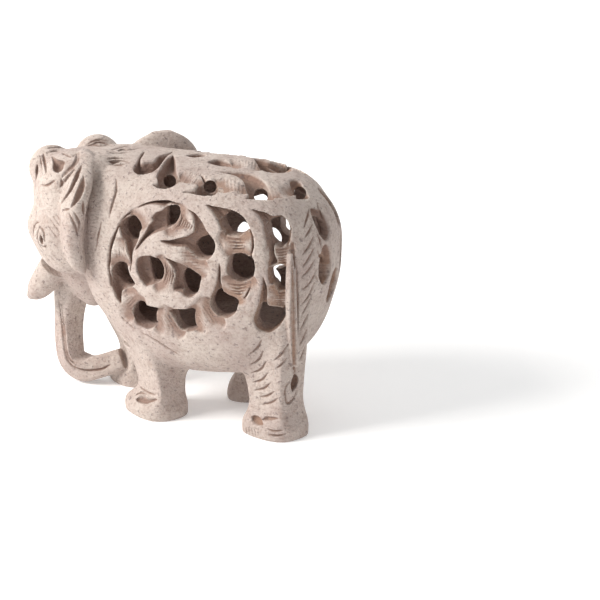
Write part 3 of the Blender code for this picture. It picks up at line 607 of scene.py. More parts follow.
# A leaf's grooved end dips by up to LEAF_DROP, and this reaches past its grooves by LEAF_REACH
LEAF_DROP = 1.5
LEAF_FALL = 0.34
LEAF_REACH = 2.2
LEAF_EDGE = 1.0
# How far past the wall an opening is cut, and how far it is cut past its outline
HOLE_REACH = 3.6
HOLE_EDGE = 0.4
# The half width of a groove, and how much of it is left at a leaf groove's and a stroke's ends
GROOVE_RADIUS = 0.42
LEAF_GROOVE_END = 0.4
STROKE_END = 0.5
# How much wider and deeper than drawn the broad cuts are
CUT_SHARE = 1.4
# A sheet's points are this far apart, and it reaches this far past its outlines
SHEET_PITCH = 0.2
SHEET_MARGIN = 4.0
# How far inside the part's box the mesh is held
INSET = 0.0005
# Nothing is cut into the flanks nearer the middle than this, or into the back lower than this
FLANK_START = 5.0
BACK_START = 58.0
# Where stone is looked for along a line of sight, from its sheet, and in steps of how much
CAST_START = -14.0
CAST_END = 90.0
CAST_STEP = 0.3
# A stroke is cut only where the stone faces the camera by at least this cosine
FACING = 0.22
# A stroke's beads are this far apart, and it stops where the stone behind it jumps by more than
# STROKE_JUMP
STROKE_STEP = 0.45
STROKE_JUMP = 3.0
# The least half width of a stroke, and the most times that it is as deep as that
STROKE_THINNEST = 0.12
STROKE_STEEPEST = 1.6
STROKE_ROWS = 4
# How far round a bead and a drill the cells are worked on, and how far out the drill starts
STROKE_MARGIN = 0.6
DRILL_MARGIN = 1.0
DRILL_START = 3.0
HOLLOW_SECTIONS = 30
# How wide the fillets are where the forms of the figure meet
HEAD_FILLET, JAW_FILLET, TRUNK_FILLET, TUSK_FILLET = 1.2, 1.4, 1.2, 0.8
EAR_FILLET, LEG_FILLET, BOSS_FILLET, TAIL_FILLET = 1.0, 1.6, 0.8, 0.5
# The stone counts as inside up to INNER_START from the hollow, and this fades over INNER_FADE
INNER_START = 0.2
INNER_FADE = 1.4
# How far round a point its crest is averaged, and how far from the skin the distance counts
CREST_REACH = 0.7
CREST_LIMIT = 1.2
# How many cells to each side of a point its slope is measured over
SLOPE_CELLS = 1.5
# The stone's distance is kept for this many cells on both sides of its skin
BAND_CELLS = 3
CURVE_STEPS = 3


class Cells:
    """The block of cells that the figure is carved in. Each cell is grain millimetres wide."""

    def __init__(self, grain):
        self.grain = grain
        self.low = tuple(math.floor(c / grain) for c in LOW_CORNER)
        high = tuple(math.ceil(c / grain) for c in HIGH_CORNER)
        self.shape = tuple(last - first + 1 for first, last in zip(self.low, high))
        counts = [(np.arange(n) + first).astype(np.float32) for first, n in zip(self.low, self.shape)]
        self.xs, self.ys, self.zs = [count * np.float32(grain) for count in counts]
        self.x = self.xs[:, None, None]
        self.y = self.ys[None, :, None]
        self.z = self.zs[None, None, :]
        self.transform = openvdb.createLinearTransform(voxelSize=grain)

    def window(self, low, high):
        """Slices of the cells between two corners."""
        cuts = []
        for k in range(3):
            start = int(round(low[k] / self.grain)) - self.low[k]
            stop = int(round(high[k] / self.grain)) - self.low[k] + 1
            cuts.append(slice(max(start, 0), min(stop, self.shape[k])))
        return tuple(cuts)

    def places(self, window):
        """The x, y and z of the cells in a window."""
        return self.x[window[0]], self.y[:, window[1]], self.z[:, :, window[2]]

    def sample(self, field, points):
        """The field's values at some points."""
        where = points / self.grain - np.array(self.low)
        base = np.clip(np.floor(where).astype(int), 0, np.array(self.shape) - 2)
        part = np.clip(where - base, 0, 1)
        total = np.zeros(len(points))
        for corner in np.ndindex(2, 2, 2):
            weight = np.prod(np.where(corner, part, 1 - part), axis=1)
            i, j, k = (base + np.array(corner)).T
            total += weight * field[i, j, k]
        return total


def smooth_rows(rows, steps=STEPS_BETWEEN):
    """Rows of a table with more rows between them, on a curve through them all."""
    table = np.array(rows, float)
    padded = np.vstack([2 * table[0] - table[1], table, 2 * table[-1] - table[-2]])
    made = []
    for i in range(len(table) - 1):
        before, start, end, after = padded[i : i + 4]
        for t in np.arange(steps) / steps:
            bend = 2 * before - 5 * start + 4 * end - after
            twist = 3 * start - before - 3 * end + after
            made.append(0.5 * (2 * start + (end - before) * t + bend * t**2 + twist * t**3))
    made.append(table[-1])
    return np.array(made)


def power_circle(squareness):
    """Points round a unit circle, squared up: squareness 2 is a circle, and more is boxier."""
    angles = np.arange(RING_POINTS) * math.tau / RING_POINTS
    c, s = np.cos(angles), np.sin(angles)
    return np.sign(c) * abs(c) ** (2 / squareness), np.sign(s) * abs(s) ** (2 / squareness)


def ring(centre, across, along, half_across, half_along, squareness):
    """Points of one cross-section."""
    u, v = power_circle(squareness)
    return np.array(centre) + np.outer(u * half_across, across) + np.outer(v * half_along, along)


def body_ring(row, inset=0.0, floor=-math.inf):
    """One upright section of the body, or of a skin inset from it that stops at a floor."""
    x, half_width, middle, up, down, upper, lower = row
    upper_u, upper_v = power_circle(upper)
    lower_u, lower_v = power_circle(lower)
    top = np.sin(np.arange(RING_POINTS) * math.tau / RING_POINTS) > 0
    y = (half_width - inset) * np.where(top, upper_u, lower_u)
    z = middle + np.where(top, (up - inset) * upper_v, (down - inset) * lower_v)
    return np.column_stack([np.full(RING_POINTS, x), y, np.maximum(z, floor)])


def corner_ring(corners, squareness):
    """Points of a cross-section whose rounded corners reach the four given points."""
    corners = np.array(corners)
    middle = corners.mean(axis=0)
    a, b, c, d = middle + (corners - middle) * 2 ** (1 / squareness)
    u, v = power_circle(squareness)
    u, v = u[:, None], v[:, None]
    near = (1 - u) * (1 - v) * a + (1 + u) * (1 - v) * b
    return (near + (1 + u) * (1 + v) * c + (1 - u) * (1 + v) * d) / 4


def leg_rings(rows, side, forward, inward):
    """One leg: side is -1 for the left, and forward and inward say how far it has stepped."""
    rings = []
    for row in smooth_rows(rows):
        corners = [(row[k] - forward, side * (row[k + 1] - inward), row[0]) for k in range(1, 9, 2)]
        rings.append(corner_ring(corners, row[9]))
    return rings


def head_axes(turn=HEAD_TURN):
    """Unit vectors that point forwards and to the left of something turned like the head."""
    turn = math.radians(turn)
    forward = np.array([-math.cos(turn), math.sin(turn), 0])
    return forward, np.array([-forward[1], forward[0], 0])


def head_point(forward, left, z):
    """A point placed from the head's own middle line."""
    ahead, aside = head_axes()
    return np.array([*HEAD_MIDDLE, z]) + ahead * forward + aside * left


def head_rings():
    """The skull and cheeks, down to where the trunk leaves them."""
    ahead, aside = head_axes()
    return [ring(head_point(*row[:3]), ahead, aside, *row[3:]) for row in smooth_rows(HEAD)]


def swept_rings(points, half_depths, half_widths, sideways, squareness):
    """Cross-sections square to a path, each with its width along the same sideways direction."""
    rings = []
    for i, point in enumerate(points):
        tangent = points[min(i + 1, len(points) - 1)] - points[max(i - 1, 0)]
        tangent = tangent / np.linalg.norm(tangent)
        depth_axis = np.cross(tangent, sideways)
        depth_axis = depth_axis / np.linalg.norm(depth_axis)
        width_axis = np.cross(depth_axis, tangent)
        rings.append(ring(point, depth_axis, width_axis, half_depths[i], half_widths[i], squareness))
    return rings


def tusk_rings(side):
    """A short tusk: side is 1 for the left."""
    rows = smooth_rows(TUSK)
    points = np.array([head_point(f, side * s, z) for f, s, z, radius in rows])
    return swept_rings(points, rows[:, 3], rows[:, 3], head_axes()[1], 2.0)


def ear_rings(rows):
    """A flap between its hinge and its rim, each row of the table being one height."""
    rings = []
    for hinge_x, hinge_y, rim_x, rim_y, z, half_thickness in smooth_rows(rows):
        hinge, rim = np.array([hinge_x, hinge_y, z]), np.array([rim_x, rim_y, z])
        span = np.linalg.norm(rim - hinge)
        across = (rim - hinge) / span
        along = np.array([-across[1], across[0], 0])
        rings.append(ring((hinge + rim) / 2, across, along, span / 2, half_thickness, EAR_SQUARENESS))
    return rings


def form_field(cells, rings):
    """The signed distance to a closed form that is skinned over rings of points."""
    rings = np.asarray(rings, float)
    count, around = rings.shape[:2]
    points = np.vstack([rings.reshape(-1, 3), rings[0].mean(axis=0), rings[-1].mean(axis=0)])
    k = np.arange(around)
    after = (k + 1) % around
    start = np.arange(count - 1)[:, None] * around
    sides = np.stack([start + k, start + after, start + around + after, start + around + k], axis=-1)
    last = (count - 1) * around
    caps = [np.column_stack([after, k, np.full(around, count * around)])]
    caps.append(np.column_stack([last + k, last + after, np.full(around, count * around + 1)]))
    level = openvdb.FloatGrid.createLevelSetFromPolygons(
        points,
        triangles=np.vstack(caps).astype(np.uint32),
        quads=sides.reshape(-1, 4).astype(np.uint32),
        transform=cells.transform,
        halfWidth=REACH / cells.grain,
    )
    field = np.empty(cells.shape, np.float32)
    level.copyToArray(field, ijk=cells.low)
    return field


def merge(a, b, blend):
    """The union of two fields, with a fillet about as wide as blend where they meet."""
    mix = np.clip(0.5 + 0.5 * (b - a) / blend, 0, 1)
    return b + (a - b) * mix - blend * mix * (1 - mix)


def path_distance(a, b, path):
    """How far places on a chart are from a tapered path, and how far along it, from 0 to 1."""
    path = np.array(path, float)
    lengths = np.linalg.norm(np.diff(path[:, :2], axis=0), axis=1)
    before = np.concatenate([[0], np.cumsum(lengths)]) / lengths.sum()
    nearest = np.full(np.broadcast(a, b).shape, FAR_AWAY, np.float32)
    along = np.zeros_like(nearest)
    for i, (p, q) in enumerate(zip(path, path[1:])):
        step = q[:2] - p[:2]
        t = np.clip(((a - p[0]) * step[0] + (b - p[1]) * step[1]) / (step @ step), 0, 1)
        distance = np.hypot(a - p[0] - t * step[0], b - p[1] - t * step[1]) - (p[2] + t * (q[2] - p[2]))
        closer = distance < nearest
        nearest = np.where(closer, distance, nearest)
        along = np.where(closer, before[i] + t * (before[i + 1] - before[i]), along)
    return nearest, along


def between(first, last, count):
    """Lines of points that go over evenly from a first line to a last one."""
    first, last = np.array(first, float), np.array(last, float)
    return [first + (last - first) * t for t in np.linspace(0, 1, count)]


def outline_distance(a, b, outline):
    """How far places on a sheet are from a closed outline, and less than 0 inside it."""
    count = len(outline)
    looped = [outline[-2], outline[-1], *outline, outline[0], outline[1]]
    curve = smooth_rows(looped, CURVE_STEPS)[2 * CURVE_STEPS : (count + 2) * CURVE_STEPS]
    nearest = np.full(a.shape, FAR_AWAY, np.float32)
    inside = np.zeros(a.shape, bool)
    for p, q in zip(curve, np.roll(curve, -1, axis=0)):
        step = q - p
        t = np.clip(((a - p[0]) * step[0] + (b - p[1]) * step[1]) / max(step @ step, TINY_SQUARE), 0, 1)
        nearest = np.minimum(nearest, np.hypot(a - p[0] - t * step[0], b - p[1] - t * step[1]))
        crosses = (p[1] > b) != (q[1] > b)
        rise = step[1] if abs(step[1]) > TINY_SQUARE else TINY_SQUARE
        inside ^= crosses & (a < p[0] + (b - p[1]) * step[0] / rise)
    return np.where(inside, -nearest, nearest)


class Sheet:
    """A drawing of pockets, leaves, holes and leaf grooves, as maps over a flat sheet."""

    def __init__(self, pockets, leaves, holes, hatches, sizes):
        corners = np.vstack(pockets)
        self.low = corners.min(axis=0) - SHEET_MARGIN
        high = corners.max(axis=0) + SHEET_MARGIN
        spots = [np.arange(self.low[k], high[k], SHEET_PITCH) for k in range(2)]
        a, b = np.meshgrid(*spots, indexing="ij")
        pocket = np.minimum.reduce([outline_distance(a, b, outline) for outline in pockets])
        for leaf in leaves:
            pocket = np.maximum(pocket, -outline_distance(a, b, leaf))
        self.hole = np.minimum.reduce([outline_distance(a, b, outline) for outline in holes])
        away = np.maximum(self.hole, 0)
        floor = np.clip(POCKET_DEPTH - POCKET_FALL * away, POCKET_TIP_DEPTH, POCKET_DEPTH)
        depth = np.clip(-pocket * POCKET_SIDE, 0, floor)
        groove = np.full_like(depth, FAR_AWAY)
        for count, first, last in hatches:
            for line in between(*outlines(first, last), count):
                radii = np.full(len(line), GROOVE_RADIUS)
                radii[0] = radii[-1] = GROOVE_RADIUS * LEAF_GROOVE_END
                groove = np.minimum(groove, path_distance(a, b, np.column_stack([line, radii]))[0])
        near = np.clip(LEAF_REACH + LEAF_EDGE - groove, 0, 1)
        depth = np.maximum(depth, np.clip(LEAF_DROP - LEAF_FALL * away, 0, LEAF_DROP) * near)
        self.depth = depth + np.clip(-groove / GROOVE_RADIUS, 0, 1) * sizes.groove_depth
        self.edge = np.minimum(np.minimum(pocket, self.hole - HOLE_EDGE), groove - LEAF_REACH - LEAF_EDGE)

    def read(self, field, a, b):
        """The values of one of the maps at some places on the sheet."""
        u = np.clip((a - self.low[0]) / SHEET_PITCH, 0, field.shape[0] - 1.001)
        v = np.clip((b - self.low[1]) / SHEET_PITCH, 0, field.shape[1] - 1.001)
        i, j = u.astype(int), v.astype(int)
        u, v = u - i, v - j
        near = field[i, j] * (1 - v) + field[i, j + 1] * v
        far = field[i + 1, j] * (1 - v) + field[i + 1, j + 1] * v
        return (near * (1 - u) + far * u).astype(np.float32)

    def read_all(self, a, b):
        """The depth, and the distances to a pocket's edge and to a hole, at some places."""
        return [self.read(field, a, b) for field in (self.depth, self.edge, self.hole)]


def seen_on_sheet(x, y, z, axis, level):
    """Where the camera sees a place on the sheet that crosses an axis at a level."""
    place = [np.asarray(c, np.float32) for c in np.broadcast_arrays(x, y, z)]
    share = (level - EYE[axis]) / (place[axis] - EYE[axis])
    kept = [k for k in range(3) if k != axis]
    return [EYE[k] + (place[k] - EYE[k]) * share for k in kept]


def skin_height(field, axis, places):
    """The greatest place along an axis where the field is inside, for each line of cells."""
    inside = np.flip(field < 0, axis)
    first = inside.argmax(axis)
    found = inside.any(axis)
    last = field.shape[axis] - 1 - first
    beyond = np.minimum(last + 1, field.shape[axis] - 1)
    at_last = np.take_along_axis(field, np.expand_dims(last, axis), axis).squeeze(axis)
    at_beyond = np.take_along_axis(field, np.expand_dims(beyond, axis), axis).squeeze(axis)
    gap = places[beyond] - places[last]
    height = places[last] + gap * at_last / np.minimum(at_last - at_beyond, -TINY_STEP)
    return np.where(found, height, 0.0)


def pit(axis, out, skin, depth, edge, hole):
    """How far places are inside a pocket or its opening. The maps lie across an axis, and out is how
    far along it the places are. The edge and the hole are distances, less than 0 inside."""
    skin, depth, edge, hole = [np.expand_dims(field, axis) for field in (skin, depth, edge, hole)]
    pocket = np.minimum(out - (skin - depth), -edge)
    return np.maximum(pocket, np.minimum(out - (skin - WALL - HOLE_REACH), -hole))


def carve_flank(cells, stone, body, side, sheet):
    """Cut the vine of leaves into one flank: side is -1 for the left."""
    skin = skin_height(body if side > 0 else body[:, ::-1], 1, cells.ys if side > 0 else -cells.ys[::-1])
    u, w = seen_on_sheet(cells.xs[:, None], -skin, cells.zs[None, :], 1, FLANK_SHEET)
    depth, edge, hole = sheet.read_all(u, w)
    if side > 0:
        kept = FAR_FLANK_FRONT - cells.xs[:, None]
        edge, hole = np.maximum(edge, kept), np.maximum(hole, kept)
    middle = cells.shape[1] // 2
    half = slice(None, middle) if side < 0 else slice(middle, None)
    out = side * cells.y[:, half]
    inside = np.where(out > FLANK_START, pit(1, out, skin, depth, edge, hole), -FAR_AWAY)
    stone[:, half] = np.maximum(stone[:, half], inside)


def carve_back(cells, stone, body, sheet, far_sheet):
    """Cut the pockets of the back, and plainer ones on its far side."""
    skin = skin_height(body, 2, cells.zs)
    x, y = cells.xs[:, None], cells.ys[None, :]
    slope = np.hypot(*np.gradient(skin, cells.grain))
    inside = np.full(stone.shape, -FAR_AWAY, np.float32)
    for drawing, mirror in ((sheet, 1), (far_sheet, -1)):
        s, t = seen_on_sheet(x, mirror * y, skin, 2, BACK_SHEET)
        depth, edge, hole = drawing.read_all(s, t)
        limit = np.maximum(np.interp(s, *np.transpose(BACK_BORDER)) - t, (slope - STEEPEST) * STEEP_SHARE)
        if mirror < 0:
            kept = np.maximum(FAR_BACK_START - y, FAR_BACK_FRONT - x)
        else:
            kept = np.minimum(y - EAR_SIDE, EAR_REAR - x)
        limit = np.maximum(limit, kept)
        edge, hole = np.maximum(edge, limit), np.maximum(hole, limit)
        inside = np.maximum(inside, pit(2, cells.z, skin, depth, edge, hole))
    np.maximum(stone, np.where(cells.z > BACK_START, inside, -FAR_AWAY), out=stone)


def carve_rump(cells, stone, body):
    """Cut the openings of the rump, straight in from behind."""
    skin = skin_height(body, 0, cells.xs)
    y, z = cells.ys[:, None], cells.zs[None, :]
    for middle_y, middle_z, half_width, half_height in RUMP_HOLES:
        u, v = (y - middle_y) / half_width, (z - middle_z) / half_height
        size = min(half_width, half_height)
        hole = (np.hypot(u, v) - 1) * size
        rim = (np.hypot(u, (v - RUMP_HIGHER) / RUMP_TALLER) - 1) * size
        floor = np.clip(-rim * POCKET_SIDE, 0, RUMP_DEPTH)
        inside = pit(0, cells.x, skin, floor, rim, hole)
        np.maximum(stone, np.where(cells.x > RUMP_FRONT, inside, -FAR_AWAY), out=stone)


def cast(cells, stone, places):
    """Where the camera sees places of the flank's sheet on the stone, which way the stone faces
    there, and whether the camera sees any stone behind them that faces it."""
    eye = np.array(EYE)
    ahead = np.column_stack([places[:, 0], np.full(len(places), FLANK_SHEET), places[:, 1]]) - eye
    reach = np.linalg.norm(ahead, axis=1)
    ahead = ahead / reach[:, None]
    steps = np.arange(CAST_START, CAST_END, CAST_STEP)
    marks = eye + ahead[:, None] * (reach[:, None] + steps)[:, :, None]
    values = cells.sample(stone, marks.reshape(-1, 3)).reshape(len(places), -1)
    inside = values < 0
    first = np.maximum(inside.argmax(axis=1), 1)
    rows = np.arange(len(places))
    before, after = values[rows, first - 1], values[rows, first]
    part = np.clip(before / np.maximum(before - after, TINY_STEP), 0, 1)
    spots = marks[rows, first - 1] + (marks[rows, first] - marks[rows, first - 1]) * part[:, None]
    slope = []
    for k in range(3):
        nudge = np.zeros(3)
        nudge[k] = SLOPE_CELLS * cells.grain
        slope.append(cells.sample(stone, spots + nudge) - cells.sample(stone, spots - nudge))
    slope = np.array(slope).T
    slope /= np.maximum(np.linalg.norm(slope, axis=1), TINY_STEP)[:, None]
    facing = -(slope * ahead).sum(axis=1)
    return spots, slope, inside.any(axis=1) & (facing > FACING)


def cut_bead(cells, stone, p, q, first, last, margin):
    """Take away a straight bead of stone between two points: first and last are its radii there."""
    reach = max(first, last) + margin
    window = cells.window(np.minimum(p, q) - reach, np.maximum(p, q) + reach)
    places = cells.places(window)
    step = q - p
    t = sum((place - p[k]) * step[k] for k, place in enumerate(places))
    t = np.clip(t / max(step @ step, TINY_SQUARE), 0, 1)
    away = sum((place - p[k] - t * step[k]) ** 2 for k, place in enumerate(places))
    stone[window] = np.maximum(stone[window], first + t * (last - first) - np.sqrt(away))


def cut_stroke(cells, stone, solid, path, depth):
    """Cut one tapered stroke into the stone: rows of across, up and half width."""
    rows = smooth_rows(path, STROKE_ROWS)
    lengths = np.concatenate([[0], np.cumsum(np.linalg.norm(np.diff(rows[:, :2], axis=0), axis=1))])
    marks = np.linspace(0, lengths[-1], max(int(lengths[-1] / STROKE_STEP), 2) + 1)
    rows = np.column_stack([np.interp(marks, lengths, rows[:, k]) for k in range(3)])
    spots, slope, found = cast(cells, solid, rows[:, :2])
    width = np.maximum(rows[:, 2], STROKE_THINNEST)
    depths = np.minimum(depth, width * STROKE_STEEPEST)
    radius = np.where(depths <= width, (width**2 + depths**2) / (2 * depths), width)
    centre = spots + slope * (radius - depths)[:, None]
    for i in range(len(rows) - 1):
        jump = np.linalg.norm(spots[i + 1] - spots[i])
        if found[i] and found[i + 1] and jump <= STROKE_JUMP:
            cut_bead(cells, stone, centre[i], centre[i + 1], radius[i], radius[i + 1], STROKE_MARGIN)


def cut_strokes(cells, stone, sizes):
    """Cut the drawn strokes of the head, ears, trunk, legs and rump."""
    solid = stone.copy()
    for depth, path in CUTS:
        cut_stroke(cells, stone, solid, np.reshape(path, (-1, 3)) * (1, 1, CUT_SHARE), depth * CUT_SHARE)
    for line in GROOVES:
        width = np.full(len(line), GROOVE_RADIUS)
        width[0] = width[-1] = GROOVE_RADIUS * STROKE_END
        cut_stroke(cells, stone, solid, np.column_stack([line, width]), sizes.groove_depth)


def drill(cells, stone, across, up, radius, reach):
    """Drill an opening into the hollow, along the camera's line of sight."""
    spot = cast(cells, stone, np.array([(across, up)], float))[0][0]
    ahead = (spot - EYE) / np.linalg.norm(spot - EYE)
    cut_bead(cells, stone, spot - ahead * DRILL_START, spot + ahead * reach, radius, radius, DRILL_MARGIN)


def blur(field, reach):
    """The field averaged over a small box round each cell."""
    for axis in range(3):
        total = field.copy()
        for k in range(1, reach + 1):
            ahead = [slice(None)] * 3
            behind = [slice(None)] * 3
            ahead[axis], behind[axis] = slice(k, None), slice(None, -k)
            total[tuple(behind)] += field[tuple(ahead)]
            total[tuple(ahead)] += field[tuple(behind)]
        field = total / (2 * reach + 1)
    return field


def block_out(cells):
    """The whole figure before it is carved, and its body alone."""
    body = form_field(cells, [body_ring(row) for row in smooth_rows(BODY)])
    block = body
    jaw = [ring(row[:3], (1, 0, 0), (0, 1, 0), *row[3:]) for row in smooth_rows(JAW)]
    trunk = smooth_rows(TRUNK)
    trunk_side = head_axes(TRUNK_TURN)[1]
    trunk_rings = swept_rings(trunk[:, :3], trunk[:, 3], trunk[:, 4], trunk_side, TRUNK_SQUARENESS)
    forms = [(head_rings(), HEAD_FILLET), (jaw, JAW_FILLET), (trunk_rings, TRUNK_FILLET)]
    forms += [(tusk_rings(side), TUSK_FILLET) for side in (1, -1)]
    forms += [(ear_rings(rows), EAR_FILLET) for rows in (NEAR_EAR, FAR_EAR)]
    for side, forward, inward in ((-1, 0.0, 0.0), (1, STRIDE, STRIDE_INWARD)):
        forms += [(leg_rings(rows, side, forward, inward), LEG_FILLET) for rows in (FRONT_LEG, HIND_LEG)]
    for rings, fillet in forms:
        block = merge(block, form_field(cells, rings), fillet)
    for side in (1, -1):
        x, y, z = head_point(0.0, side * BOSS_SIDE, BOSS_HEIGHT - side * BOSS_RISE)
        boss = np.sqrt((cells.x - x) ** 2 + (cells.y - y) ** 2 + (cells.z - z) ** 2) - BOSS_RADIUS
        block = merge(block, boss.astype(np.float32), BOSS_FILLET)
    return block, body


def tail_field(cells):
    """The tail, which passes over the openings."""
    rows = smooth_rows(TAIL)
    return form_field(cells, swept_rings(rows[:, :3], rows[:, 3], rows[:, 3], (0, 1, 0), 2.0))


def hollow_field(cells):
    """The hollow inside the body, a wall's thickness in from its skin."""
    table = smooth_rows(BODY)
    rings = []
    for x in np.linspace(HOLLOW_FRONT, HOLLOW_REAR, HOLLOW_SECTIONS):
        row = [np.interp(x, table[:, 0], table[:, k]) for k in range(table.shape[1])]
        rings.append(body_ring(row, WALL, HOLLOW_FLOOR))
    return form_field(cells, rings)


def carved(cells, stone, body, sizes):
    """Cut the pockets and openings into the flanks, the back and the rump."""

    def chosen(outlines_or_hatches, numbers):
        return [outlines_or_hatches[k] for k in numbers]

    flank = Sheet(FLANK_POCKETS, FLANK_LEAVES, FLANK_HOLES, FLANK_HATCHES, sizes)
    far_flank = Sheet(
        chosen(FLANK_POCKETS, FAR_FLANK_POCKETS),
        FLANK_LEAVES,
        chosen(FLANK_HOLES, FAR_FLANK_HOLES) + FAR_EXTRA_HOLES,
        chosen(FLANK_HATCHES, FAR_FLANK_HATCHES),
        sizes,
    )
    back = Sheet(BACK_POCKETS, (), BACK_HOLES, BACK_HATCHES, sizes)
    far_back = Sheet(
        chosen(BACK_POCKETS, FAR_BACK_POCKETS),
        (),
        chosen(BACK_HOLES, FAR_BACK_HOLES),
        chosen(BACK_HATCHES, FAR_BACK_HATCHES),
        sizes,
    )
    carve_flank(cells, stone, body, -1, flank)
    carve_flank(cells, stone, body, 1, far_flank)
    carve_back(cells, stone, body, back, far_back)
    carve_rump(cells, stone, body)
    return stone


def keep_inside(cells, stone):
    """Hold the stone inside the part's own box, and rub the soles flat."""
    for k, places in enumerate((cells.x, cells.y, cells.z)):
        np.maximum(stone, BOX_LOW[k] - places, out=stone)
        np.maximum(stone, places - BOX_HIGH[k], out=stone)


def mesh_of(cells, stone, triangles):
    """A mesh object over the stone, with no loose chips, and no more triangles than asked."""
    band = BAND_CELLS * cells.grain
    level = openvdb.FloatGrid(band)
    level.copyFromArray(np.clip(stone, -band, band), ijk=cells.low)
    level.transform = cells.transform
    points, quads = level.convertToQuads(0.0)
    mesh = bpy.data.meshes.new("elephant_stone")
    mesh.vertices.add(len(points))
    mesh.vertices.foreach_set("co", (np.asarray(points, np.float64) * MM).ravel())
    mesh.loops.add(quads.size)
    mesh.loops.foreach_set("vertex_index", np.asarray(quads).ravel())
    mesh.polygons.add(len(quads))
    mesh.polygons.foreach_set("loop_start", np.arange(len(quads)) * 4)
    mesh.update()
    obj = bpy.data.objects.new("elephant_stone", mesh)
    bpy.context.scene.collection.objects.link(obj)
    drop_chips(mesh)
    use_modifier(obj, "DECIMATE", ratio=min(1.0, triangles / (2 * len(mesh.polygons))))
    return obj


def drop_chips(mesh):
    """Take away every loose bit of the mesh but the largest."""
    edges = np.empty(len(mesh.edges) * 2, np.int64)
    mesh.edges.foreach_get("vertices", edges)
    a, b = edges.reshape(-1, 2).T
    label = np.arange(len(mesh.vertices))
    while True:
        low = np.minimum(label[a], label[b])
        before = label.copy()
        np.minimum.at(label, label[a], low)
        np.minimum.at(label, label[b], low)
        label = label[label]
        if (label == before).all():
            break
    names, counts = np.unique(label, return_counts=True)
    loose = label != names[counts.argmax()]
    if loose.any():
        bm = bmesh.new()
        bm.from_mesh(mesh)
        bm.verts.ensure_lookup_table()
        bmesh.ops.delete(bm, geom=[bm.verts[i] for i in np.flatnonzero(loose)])
        bm.to_mesh(mesh)
        bm.free()


def use_modifier(obj, kind, **settings):
    """Add a modifier, with its settings, and apply it to the object's mesh."""
    modifier = obj.modifiers.new(kind.lower(), kind)
    for key, value in settings.items():
        setattr(modifier, key, value)
    graph = bpy.context.evaluated_depsgraph_get()
    graph.update()
    mesh = bpy.data.meshes.new_from_object(obj.evaluated_get(graph))
    obj.modifiers.remove(modifier)
    old = obj.data
    obj.data = mesh
    bpy.data.meshes.remove(old)


def mark(mesh, name, values):
    """Give the mesh a number for each vertex, for the stone's colours to follow."""
    attribute = mesh.attributes.new(name, "FLOAT", "POINT")
    attribute.data.foreach_set("value", np.asarray(values, np.float32))


def dress(mesh, cells, stone, block, hollow):
    """Mark how deep in a cut, how far inside and how proud each vertex is, and set the mesh in its
    place in the part."""
    points = np.empty(len(mesh.vertices) * 3)
    mesh.vertices.foreach_get("co", points)
    points = np.clip(points.reshape(-1, 3) / MM, BOX_LOW + INSET, BOX_HIGH - INSET)
    mesh.vertices.foreach_set("co", (points * MM).ravel())
    mark(mesh, "recess", np.clip(-cells.sample(block, points) / REACH, 0, 1))
    mark(mesh, "inner", np.clip(1 - (cells.sample(hollow, points) - INNER_START) / INNER_FADE, 0, 1))
    crest = blur(np.clip(stone, -CREST_LIMIT, CREST_LIMIT), max(int(CREST_REACH / cells.grain), 1))
    mark(mesh, "crest", cells.sample(crest, points))
    mesh.shade_smooth()
    mesh.transform(Matrix.Translation(Vector(SHIFT) * MM))


# Patches in the stone: size in millimetres, detail, roughness, and where they start and are full
CLOUDS = (16.0, 3.0, 0.5, 0.38, 0.66)
STAINS = (5.0, 4.0, 0.6, 0.5, 0.72)
RUST = (14.0, 2.0, 0.5, 0.34, 0.56)
PORES = (1.1, 3.0, 0.75, 0.48, 0.64)
SPECKS = (1.2, 1.0, 0.5, 0.65, 0.7)
# The cuts turn rusty between these places along x
RUST_START, RUST_END = 8.0, 34.0
# Where the brown of the cuts, the painted shade of the creases and the wear start and are full, in what dress
# marks
CUT_RANGE, CREASE_SHADE_RANGE, WORN_RANGE = (0.06, 0.36), (-0.04, -0.2), (0.1, 0.42)
# The stains shift the brown of the cuts: what of them counts as none, and by how much
STAIN_MIDDLE, STAIN_SHIFT = 0.4, 0.16
# The roughness without pores and with them, as the ends of the range that gives it
SMOOTH_RANGE = (-4.0, 1.6)
# How much each of them covers the colour under it
STAIN_SHARE, CUT_SHADE, CREASE_SHADE_SHARE, WORN_SHARE, PORE_SHARE, SPECK_SHARE = 0.35, 0.9, 0.75, 0.7, 0.4, 0.6
# Sizes of the grain and of the rasp marks, in millimetres
GRAIN_SIZE, RASP_SIZE = 0.9, 0.7
# The rasp marks run along one direction
RASP_TURN, RASP_STRETCH = (0.2, 0.9, 0.3), (0.22, 1.0, 1.0)
# How much of each counts in the height of the roughness, and that height in millimetres
ROUGH_SHARE, ROUGH_HEIGHT = 0.7, 0.9
# The floor's paler patches, and how much light it gives of its own
FLOOR_PATCH, FLOOR_PALE, FLOOR_GLOW = 120.0, (0.93, 0.93, 0.93, 1.0), 0.2
WHITE = (1.0, 1.0, 1.0, 1.0)


